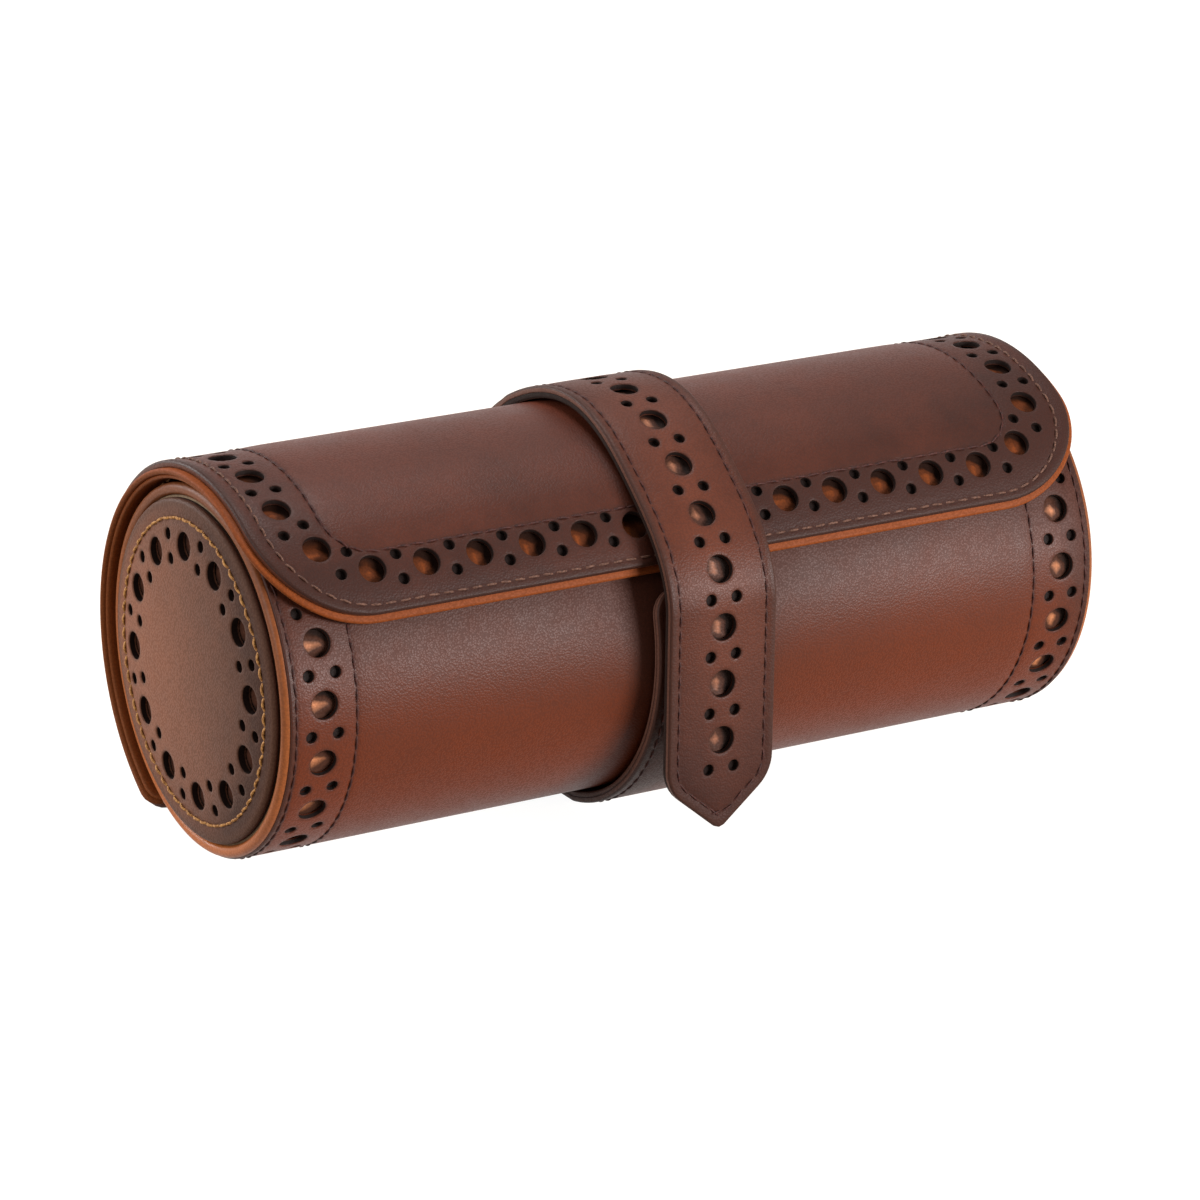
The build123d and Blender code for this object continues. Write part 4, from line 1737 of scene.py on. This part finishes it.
@dataclass
class Belt:
    """Strap over the flap with its pointed end, and the band under the roll."""

    cover_thickness: float = 1.4
    lining_thickness: float = 1.4
    sewn_radius: float = 50.3
    sewn_end: float = 183.5
    hinge: float = 118.0
    hang_front: float = 51.0
    bend_height: float = 12.4
    tip_drop: float = 41.0
    tip_slope: float = 40.0
    tip_round: float = 2.0
    shoulder_round: float = 10.0
    hole_from_tip: float = 22.0
    hole_pitch: float = 13.55
    hole_count: int = 15
    pair_offset: float = 3.35
    seam_inset: float = 2.6
    fold_end: float = 198.5
    band_front: float = 21.0
    band_gap: float = 5.4
    band_outer: Pair = (46.65, 50.3)
    band_inner: Pair = (45.25, 48.9)

    def _strap_line(self) -> Array:
        """Outer face of the whole strap, from its tip over the top to its sewn end.

        Returns:
            Points in the YZ plane.
        """
        start = self.hinge - math.degrees(0.3 / 50.6)
        rises = [(start, 0.3), ((start + 80.0) / 2, (0.3 + 2.35) / 2), (80.0, 2.35), (65.0, 1.55), (50.0, 0.75),
                 (26.0, 2.9)]
        points = [round_axis(self.sewn_radius + rise, angle) for angle, rise in rises]
        points.append(np.array([-self.hang_front, AXIS_HEIGHT + self.bend_height]))
        turn = math.radians(start - 90)
        first = np.array([-math.cos(turn), math.sin(turn)])
        curve = clamped_curve(np.array(points), first, np.array([0.0, -1.0]), 24)[::-1]
        tip = np.array([-self.hang_front, AXIS_HEIGHT - self.tip_drop])
        hang = tip + (curve[0] - tip) * np.linspace(0, 1, 60)[:-1, None]
        settle = np.linspace(start, self.hinge + 4.0, 8)[1:]
        share = (settle - start) / (settle[-1] - start)
        eased = 0.3 * (1 - share * share * (3 - 2 * share))
        sewn = [round_axis(self.sewn_radius + rise, angle) for rise, angle in zip(eased, settle)]
        sewn += [round_axis(self.sewn_radius, angle) for angle in np.arange(self.hinge + 5.0, self.sewn_end, 1.0)]
        sewn.append(round_axis(self.sewn_radius, self.sewn_end))
        return np.vstack([hang, curve, np.array(sewn)])

    def _tip(self, inset: float, high: float, step: float) -> Array:
        """Outline of the strap: a pointed tip at its start, and square corners at its other end.

        Args:
            inset: Distance inside the strap's edges.
            high: Length of the strap.
            step: Distance between points.

        Returns:
            Points of the outline.
        """
        slope = math.radians(self.tip_slope)
        half = STRAP_HALF - inset
        low = inset / math.cos(slope)
        shoulder = low + half * math.tan(slope)
        left, right = STRAP_CENTRE - half, STRAP_CENTRE + half
        return rounded_corners([(STRAP_CENTRE, low, self.tip_round), (right, shoulder, self.shoulder_round - inset),
                                (right, high, 0.4), (left, high, 0.4),
                                (left, shoulder, self.shoulder_round - inset)], step)

    def _holes(self) -> list[Hole]:
        """Punches along the strap's middle.

        Returns:
            The punches.
        """
        holes = []
        for number in range(self.hole_count):
            along = self.hole_from_tip + number * self.hole_pitch
            holes.append(punch(STRAP_CENTRE, along))
            for offset in (-self.pair_offset, self.pair_offset):
                holes.append(pin(STRAP_CENTRE + offset, along - self.hole_pitch / 2))
        return holes

    def _seam(self, high: float) -> Array:
        """Sewn line inside the strap's edges, up to a length."""
        return returned(self._tip(self.seam_inset, high, SEAM_STEP))

    def _tone(self, flat: Array) -> Array:
        """Lighter along the middle, and darker towards the hanging tip as painted shade."""
        middle = 1 - np.abs(flat[:, 0] - STRAP_CENTRE) / STRAP_HALF
        # Darker within 40 mm of the tip: painted shade.
        return 0.28 + 0.25 * middle - 0.5 * np.clip(1.0 - flat[:, 1] / 40.0, 0.0, 1.0)

    def strap(self) -> None:
        """Cuts, punches and sews the strap."""
        surface = PathSurface(self._strap_line())
        length = surface.length
        outline = self._tip(0.0, length, 1.3)
        holes = [h for h in self._holes() if h.along < length - 6.0]
        seam = self._seam(length - self.seam_inset)

        def turned(flat: Array, marks: Array) -> Array:
            """The margins outside the seam stand a little higher."""
            return 0.12 * np.exp(-((marks[:, 0] - 1.2) / 0.9) ** 2) + 0.12 * np.clip(marks[:, 2] / 5.0, 0, 1)

        panel = Panel("strap_leather", surface, self.cover_thickness, outline, Finish.STRAP, holes=holes,
                      seams=[seam], spacing=2.2, edge_round=0.6, tone=self._tone, relief=turned, groove=0.22)
        place_piece(panel.build(), OVER_STRAP_BEND, ["strap_cover", "strap_rear_cover"])
        threads = SEWING.sew("strap_threads", surface, [(seam, False)], Finish.THREAD, 41, -0.04)
        place_piece(threads, OVER_STRAP_BEND)
        low = PathSurface(surface.lift(np.stack([np.zeros(700), np.linspace(0, length, 700)], 1),
                                       np.full(700, -self.cover_thickness))[:, 1:])
        lining_outline = self._tip(0.05, low.length, 1.6)
        dishes = middles(holes)
        lining = Panel("strap_lining_leather", low, self.lining_thickness, lining_outline, Finish.STRAP_BACK,
                       spacing=2.0, edge_round=0.15, under_round=0.5, groove=0.0,
                       tone=lambda flat: painted_punch_shading(flat, dishes, 0.8), under_tone=0.45,
                       relief=lambda flat, marks: dished(flat, dishes, 0.8))
        place_piece(lining.build(), OVER_STRAP_BEND, ["strap_lining", "strap_rear_lining"])
        back = self.hang_front - self.cover_thickness - self.lining_thickness
        drop = np.stack([np.full(30, -back), np.linspace(AXIS_HEIGHT + 10, AXIS_HEIGHT - 10, 30)], 1)
        magnet = Panel("strap_magnet_plate", PathSurface(drop), 0.35, circle((STRAP_CENTRE, 10.0), 6.5, 64),
                       Finish.STEEL, spacing=2.0, edge_round=0.12, groove=0.0,
                       relief=lambda flat, marks: np.full(len(flat), 0.03))
        place_piece(magnet.build(), Hold("strap"), ["strap_magnet"])

    @staticmethod
    def _band_radius(radii: Pair, degrees: float) -> float:
        """Radius of a face of the band, which steps out from the first radius to the second at the back."""
        share = min(1.0, max(0.0, (-101.0 - degrees) / 17.0))
        return radii[0] + (radii[1] - radii[0]) * share * share * (3 - 2 * share)

    def _band_face(self, radii: Pair, lowest: float) -> PathSurface:
        """Face of the band, pressed flat where it meets the ground.

        Args:
            radii: Radius under the roll and on the rear panel.
            lowest: Height below which it doesn't go.

        Returns:
            The face.
        """
        end = HINGE_ANGLE - 360 + math.degrees(self.band_gap / WRAP_RADIUS)
        angles = np.linspace(end, self.band_front, 260)
        line = np.array([round_axis(self._band_radius(radii, a), a) for a in angles])
        line[:, 1] = np.maximum(line[:, 1], lowest)
        return PathSurface(line)

    @staticmethod
    def _band_outline(inset: float, length: float) -> Array:
        """Outline of a layer of the band, an inset inside the strap's width."""
        half = STRAP_HALF - inset
        return oblong(STRAP_CENTRE - half, STRAP_CENTRE + half, 0.0, length, (0.8, 6.0), 1.4)

    def band(self) -> None:
        """Cuts and sews the band under the roll."""
        surface = self._band_face(self.band_outer, 0.0)
        length = surface.length
        inset = self.seam_inset
        seam = returned(oblong(STRAP_CENTRE - STRAP_HALF + inset, STRAP_CENTRE + STRAP_HALF - inset, inset,
                               length - inset, (0.6, 3.6), SEAM_STEP))
        cover = Panel("band_leather", surface, 1.4, self._band_outline(0.0, length), Finish.STRAP, seams=[seam],
                      spacing=2.6, edge_round=0.6, tone=self._tone, groove=0.2)
        place_piece(cover.build(), ON_ROLL, ["band_cover"])
        threads = SEWING.sew("band_threads", surface, [(seam, False)], Finish.THREAD, 51, -0.04)
        place_piece(threads, ON_ROLL)
        low = self._band_face(self.band_inner, 1.4)
        backing = Panel("band_backing_leather", low, 1.3, self._band_outline(0.05, low.length), Finish.STRAP,
                        spacing=3.0, edge_round=0.15, under_round=0.5, groove=0.0,
                        tone=lambda flat: np.full(len(flat), 0.1))
        place_piece(backing.build(), ON_ROLL, ["band_backing"])

    def fold(self) -> None:
        """Joins the strap to the band over the flap's hinge."""
        surface = RollSurface(self.sewn_radius - 0.12)
        low, high = surface.along(self.sewn_end - 2.0), surface.along(self.fold_end)
        left, right = STRAP_CENTRE - STRAP_HALF + 0.2, STRAP_CENTRE + STRAP_HALF - 0.2
        panel = Panel("belt_fold", surface, 2.2, oblong(left, right, low, high, (0.5, 0.5), 1.0), Finish.STRAP,
                      spacing=1.6, edge_round=0.6, groove=0.0, tone=self._tone)
        place_piece(panel.build(), OVER_HINGE)

    def build(self) -> None:
        """Builds and dresses the belt."""
        self.strap()
        self.band()
        self.fold()
        dress_nodes({"band_magnet": Finish.STEEL})


# Soft insides
def mouth_axes() -> tuple[Array, Array]:
    """Directions across the mouth and out of it, in the YZ plane."""
    out, across = math.radians(134.0), math.radians(44.0)
    return (np.array([-math.cos(across), math.sin(across)]), np.array([-math.cos(out), math.sin(out)]))


@dataclass
class Divider:
    """Padded wall between two wells."""

    label: str
    x: float
    radius: float = 37.2
    height: float = 20.0
    half_thickness: float = 1.5

    def build(self) -> None:
        """Builds the wall from two stuffed faces sewn together."""
        across, out = mouth_axes()
        edge = math.asin(self.height / self.radius)
        turns = np.linspace(math.pi - edge, 2 * math.pi + edge, 150)
        arc = np.stack([np.cos(turns), np.sin(turns)], 1) * self.radius
        loop = resampled(arc, 1.6, closed=True)
        flat = loop[:, :1] * across + loop[:, 1:] * out
        if np.cross(flat[1] - flat[0], flat[20] - flat[0]) < 0:
            flat = flat[::-1]

        def stuffed(points: Array, marks: Array) -> Array:
            """Fullest in the middle, drawn in at the seam."""
            return 0.75 * np.clip((marks[:, 0] - 1.0) / 12.0, 0, 1) ** 0.6 - 0.35

        halves = []
        for number, side in enumerate((-1, 1)):
            line = flat * np.array([side, 1.0])
            line = line if side > 0 else line[::-1]
            seam = moved_out(line, -3.4)
            surface = EndSurface(side, side * self.x + self.half_thickness)
            panel = Panel(f"divider_{self.label}_{side + 1}", surface, self.half_thickness, line, Finish.LINING,
                          seams=[returned(seam)], spacing=2.6, edge_round=0.9, groove=0.3, relief=stuffed,
                          under_round=0.0)
            halves.append(panel.build())
            threads = FINE_SEWING.sew(f"divider_threads_{self.label}_{number}", surface, [(seam, True)],
                                      Finish.PALE_THREAD, 61 + number, -0.35)
            place_piece(threads, ON_ROLL)
        piece = joined(halves, f"divider_{self.label}_pad")
        place_piece(piece, ON_ROLL, [f"divider_{self.label}"])


def joined(pieces: Sequence[bpy.types.Object], name: str) -> bpy.types.Object:
    """Joins several meshes into one piece.

    Args:
        pieces: Objects at the origin.
        name: Name of the result.

    Returns:
        The joined piece.
    """
    shape = bmesh.new()
    for piece in pieces:
        shape.from_mesh(piece.data)
    mesh = bpy.data.meshes.new(name)
    shape.to_mesh(mesh)
    shape.free()
    for material in pieces[0].data.materials:
        mesh.materials.append(material)
    for piece in pieces:
        bpy.data.objects.remove(piece)
    return new_object(name, mesh)


STUFFING = {"quality": 6, "mass": 0.25, "tension_stiffness": 12, "compression_stiffness": 12, "shear_stiffness": 6,
            "bending_stiffness": 0.4, "use_pressure": True, "uniform_pressure_force": 4.0}


@dataclass
class Cushion:
    """Suede cushion that a watch is strapped round: a sewn sleeve with two padded ends."""

    label: str
    x: float
    seed: int
    half_across: float = 29.0
    half_out: float = 24.8
    centre_height: float = -12.3
    half_length: float = 29.0
    end_depth: float = 2.2
    seam_reach: float = 0.942
    puckers: int = 44
    form_rows: int = 26
    form_parts: int = 72
    form_ease: float = 1.3
    grain: float = 0.0036
    frames: int = 20

    def _form(self) -> bpy.types.Mesh:
        """Plain form that is stuffed: slightly smaller than the cushion, round at its ends.

        Returns:
            The form.
        """
        across, out = mouth_axes()
        parts = self.form_parts
        vertices, faces = [], []
        for row in range(self.form_rows + 1):
            share = -1 + 2 * row / self.form_rows
            x = share * (self.half_length - 1.2)
            shrink = 1.0 - 0.08 * max(0.0, (abs(share) - 0.88) / 0.12) ** 2
            for step in range(parts):
                turn = 2 * math.pi * step / parts
                flat = across * math.cos(turn) * (self.half_across - self.form_ease) * shrink
                rise = math.sin(turn) * (self.half_out - self.form_ease) * shrink
                flat = flat + out * (rise + self.centre_height)
                vertices.append(((self.x + x) * MM, flat[0] * MM, (AXIS_HEIGHT + flat[1]) * MM))
        for row in range(self.form_rows):
            for step in range(parts):
                after = (step + 1) % parts
                faces.append((row * parts + step, row * parts + after, (row + 1) * parts + after,
                              (row + 1) * parts + step))
        faces.append(tuple(range(parts))[::-1])
        faces.append(tuple(len(vertices) - parts + k for k in range(parts)))
        mesh = bpy.data.meshes.new(f"cushion_form_{self.label}")
        mesh.from_pydata(vertices, [], faces)
        recalculated(mesh)
        return mesh

    def _stuff(self, mesh: bpy.types.Mesh) -> bpy.types.Mesh:
        """Args:
            mesh: Plain form.

        Returns:
            Stuffed mesh.
        """
        form = new_object(f"cushion_stuffing_{self.label}", mesh)
        remesh = form.modifiers.new("Even", "REMESH")
        remesh.mode = "VOXEL"
        remesh.voxel_size = self.grain
        set_down(form)
        cloth = form.modifiers.new("Cloth", "CLOTH")
        for name, value in STUFFING.items():
            setattr(cloth.settings, name, value)
        cloth.settings.effector_weights.gravity = 0.0
        cloth.point_cache.frame_start, cloth.point_cache.frame_end = 1, self.frames
        scene = bpy.context.scene
        for number in range(self.frames):
            scene.frame_set(number + 1)
        set_down(form)
        scene.frame_set(1)
        finer = form.modifiers.new("Finer", "SUBSURF")
        finer.levels = finer.render_levels = 2
        result = evaluated(form)
        bpy.data.objects.remove(form)
        return result

    def _shape(self, mesh: bpy.types.Mesh) -> None:
        """Draws the end seams in, gathers the suede along them and keeps the cushion in its room.

        Args:
            mesh: Stuffed mesh, changed in place.
        """
        across, out = mouth_axes()
        points = np.zeros(len(mesh.vertices) * 3)
        mesh.vertices.foreach_get("co", points)
        points = points.reshape(-1, 3) / MM
        x = points[:, 0] - self.x
        flat = points[:, 1:] - np.array([0.0, AXIS_HEIGHT]) - out * self.centre_height
        a, b = flat @ across / self.half_across, flat @ out / self.half_out
        reach = np.hypot(a, b)
        turn = np.arctan2(b, a)
        seam = self.half_length - self.end_depth
        away = np.abs(x) - seam
        side = np.clip((reach - 0.6) / 0.25, 0, 1)
        ring = np.exp(-(away / 1.4) ** 2) * side
        gather = 0.009 * np.cos(turn * self.puckers + np.sin(turn * 3 + self.seed) * 2)
        gather = gather * np.exp(-((away + 3.2) / 3.4) ** 2) * side
        sag = 0.012 * np.sin(turn * 5 + x * 0.12 + self.seed) + 0.008 * np.sin(turn * 9 - x * 0.23)
        held = np.minimum(reach, 0.99) - 0.008 + gather + sag * (1 - side * 0.4) * 0.6
        held = held * (1 - ring) + self.seam_reach * ring
        scale = np.clip(held, 0.0, 0.996) / np.maximum(reach, 1e-6)
        flat = (a * scale * self.half_across)[:, None] * across + (b * scale * self.half_out)[:, None] * out
        points[:, 1:] = flat + np.array([0.0, AXIS_HEIGHT]) + out * self.centre_height
        points[:, 0] = self.x + np.clip(x, -self.half_length - 0.6, self.half_length + 0.6)
        mesh.vertices.foreach_set("co", (points * MM).ravel())
        smoothed(mesh)
        mesh.update()

    def _seam_line(self, side: int, size: float) -> Array:
        """Closed line of the seam at one end, in millimetres.

        Args:
            side: -1 for the left end and 1 for the right one.
            size: Size against the cushion's full width.

        Returns:
            Points of the line.
        """
        across, out = mouth_axes()
        turn = np.linspace(0, 2 * math.pi, 120, endpoint=False)
        flat = np.cos(turn)[:, None] * across * self.half_across * size
        flat = flat + (np.sin(turn)[:, None] * self.half_out * size + self.centre_height) * out
        x = np.full(120, self.x + side * (self.half_length - self.end_depth))
        return np.stack([x, flat[:, 0], AXIS_HEIGHT + flat[:, 1]], 1)

    def build(self) -> None:
        """Builds the cushion and its piping."""
        mesh = self._stuff(self._form())
        self._shape(mesh)
        mesh.name = f"cushion_{self.label}_pad"
        mesh.materials.clear()
        mesh.materials.append(dressed(Finish.CUSHION))
        piece = new_object(mesh.name, mesh)
        hold = Hold(f"{self.label}_cushion")
        nodes = [f"cushion_{self.label}_{part}" for part in ("cover", "ends", "core")]
        place_piece(piece, hold, nodes)
        for side in (-1, 1):
            cord = tube_along(f"cushion_{self.label}_piping_{'left' if side < 0 else 'right'}",
                              self._seam_line(side, self.seam_reach + 0.014), 0.8, Finish.CUSHION)
            place_piece(cord, hold)


def tube_along(name: str, line: Array, radius: float, finish: Finish) -> bpy.types.Object:
    """Closed round cord along a line.

    Args:
        name: Name of the piece.
        line: Closed line, in millimetres.
        radius: Radius of the cord, in millimetres.
        finish: Its finish.

    Returns:
        The cord.
    """
    ahead = np.roll(line, -1, axis=0) - np.roll(line, 1, axis=0)
    ahead /= np.linalg.norm(ahead, axis=1)[:, None]
    first = np.tile([1.0, 0.0, 0.0], (len(line), 1))
    second = np.cross(ahead, first)
    parts = 10
    rings = []
    for step in range(parts):
        turn = 2 * math.pi * step / parts
        rings.append(line + radius * (math.cos(turn) * first + math.sin(turn) * second))
    vertices = np.stack(rings, 1).reshape(-1, 3) * MM
    faces = []
    for k in range(len(line)):
        n = (k + 1) % len(line)
        for step in range(parts):
            after = (step + 1) % parts
            faces.append((k * parts + step, k * parts + after, n * parts + after, n * parts + step))
    mesh = bpy.data.meshes.new(name)
    mesh.from_pydata(vertices.tolist(), [], faces)
    recalculated(mesh)
    smoothed(mesh)
    mesh.materials.append(dressed(finish))
    return new_object(name, mesh)


# Studio and view
@dataclass(frozen=True)
class Studio:
    """Pale floor, soft lamps and the camera, which is placed in tube radii and turned in degrees."""

    floor_size: float = 14.0
    floor_glow: float = 0.965
    ambient: float = 0.09
    camera_turn: Place = (-31.08699, -19.09993, 0.77644)
    camera_place: Place = (-13.41992, -22.13816, 8.93636)
    focal_pixels: float = 5038.1898
    frame_pixels: float = 1200.0
    sensor: float = 36.0

    def floor(self) -> None:
        """Lays a pale floor that keeps the roll's shadow."""
        bpy.ops.mesh.primitive_plane_add(size=self.floor_size, location=(0, 0, 0))
        floor = bpy.context.object
        floor.name = "floor"
        graph = MaterialGraph("pale_floor")
        pale = graph.node("ShaderNodeBsdfDiffuse", {}, {"Color": (0.24, 0.19, 0.14)})
        glow = graph.node("ShaderNodeEmission", {}, {"Color": (1.0, 1.0, 1.0), "Strength": self.floor_glow})
        both = graph.node("ShaderNodeAddShader", {}, {0: pale.outputs[0], 1: glow.outputs[0]})
        mixed = graph.node("ShaderNodeMixShader", {}, {0: graph.seen(), 1: pale.outputs[0], 2: both.outputs[0]})
        graph.node("ShaderNodeOutputMaterial", {}, {"Surface": mixed.outputs[0]})
        floor.data.materials.append(graph.material)

    def world(self) -> None:
        """White to the camera and in reflections, and a soft grey light on the roll."""
        world = bpy.data.worlds.new("studio")
        bpy.context.scene.world = world
        world.use_nodes = True
        graph = Graph(world.node_tree)
        white = graph.node("ShaderNodeBackground", {}, {"Color": (1.0, 1.0, 1.0), "Strength": 1.0})
        soft = graph.node("ShaderNodeBackground", {}, {"Color": (0.97, 0.98, 1.0), "Strength": self.ambient})
        mixed = graph.node("ShaderNodeMixShader", {}, {0: graph.seen(), 1: soft.outputs[0], 2: white.outputs[0]})
        graph.node("ShaderNodeOutputWorld", {}, {"Surface": mixed.outputs[0]})

    def lamp(self, name: str, spot: Place, aim: Place,
             size: Pair, power: float) -> None:
        """Hangs one soft box.

        Args:
            name: Name of the lamp.
            spot: Its place.
            aim: What it points at.
            size: Its width and height.
            power: Its power in watts.
        """
        data = bpy.data.lights.new(name, "AREA")
        data.shape = "RECTANGLE"
        data.size, data.size_y = size
        data.energy = power
        lamp = bpy.data.objects.new(name, data)
        bpy.context.scene.collection.objects.link(lamp)
        lamp.location = spot
        lamp.rotation_mode = "QUATERNION"
        lamp.rotation_quaternion = (Vector(aim) - Vector(spot)).to_track_quat("-Z", "Y")

    def camera(self) -> None:
        """Sets the camera at the photograph's angle."""
        yaw, pitch, roll = (math.radians(v) for v in self.camera_turn)
        ahead = Vector((math.sin(-yaw) * math.cos(pitch), math.cos(yaw) * math.cos(pitch), math.sin(pitch)))
        right = ahead.cross(Vector((0, 0, 1))).normalized()
        up = right.cross(ahead)
        side = right * math.cos(roll) + up * math.sin(roll)
        top = -right * math.sin(roll) + up * math.cos(roll)
        data = bpy.data.cameras.new("view")
        data.sensor_width = self.sensor
        data.lens = self.focal_pixels / self.frame_pixels * self.sensor
        data.clip_start, data.clip_end = 0.05, 60.0
        camera = bpy.data.objects.new("view", data)
        bpy.context.scene.collection.objects.link(camera)
        axes = Matrix((side, top, -ahead)).transposed()
        spot = Vector(self.camera_place) * (BODY_RADIUS * MM) + Vector((0, 0, AXIS_HEIGHT * MM))
        camera.matrix_world = Matrix.Translation(spot) @ axes.to_4x4()
        bpy.context.scene.camera = camera

    def build(self) -> None:
        """Sets the studio up."""
        self.floor()
        self.world()
        self.camera()
        self.lamp("top_box", (0.06, 0.12, 1.0), (0.0, 0.0, 0.05), (0.46, 0.3), 9.0)
        self.lamp("front_box", (0.56, -1.02, 0.27), (0.0, 0.0, 0.05), (0.5, 0.28), 28.0)
        self.lamp("left_box", (-1.25, -0.2, 0.5), (-0.05, 0.0, 0.04), (0.6, 0.6), 12.5)
        self.lamp("back_box", (-0.8, 1.1, 0.5), (0.0, 0.0, 0.04), (0.8, 0.6), 15.0)
        bpy.context.scene.view_settings.view_transform = "Standard"


def main() -> None:
    """Builds the roll's pieces in order."""
    logging.basicConfig(level=logging.INFO, format="%(message)s")
    Studio().build()
    Tube().build()
    for side in (-1, 1):
        End(side).build()
    Wrap().build()
    Belt().build()
    for side, label in ((-1, "left"), (1, "right")):
        Divider(label, side * WELL_PITCH / 2).build()
    for number, label in enumerate(("left", "middle", "right")):
        Cushion(label, (number - 1) * WELL_PITCH, number + 1).build()


if __name__ == "__main__":
    main()
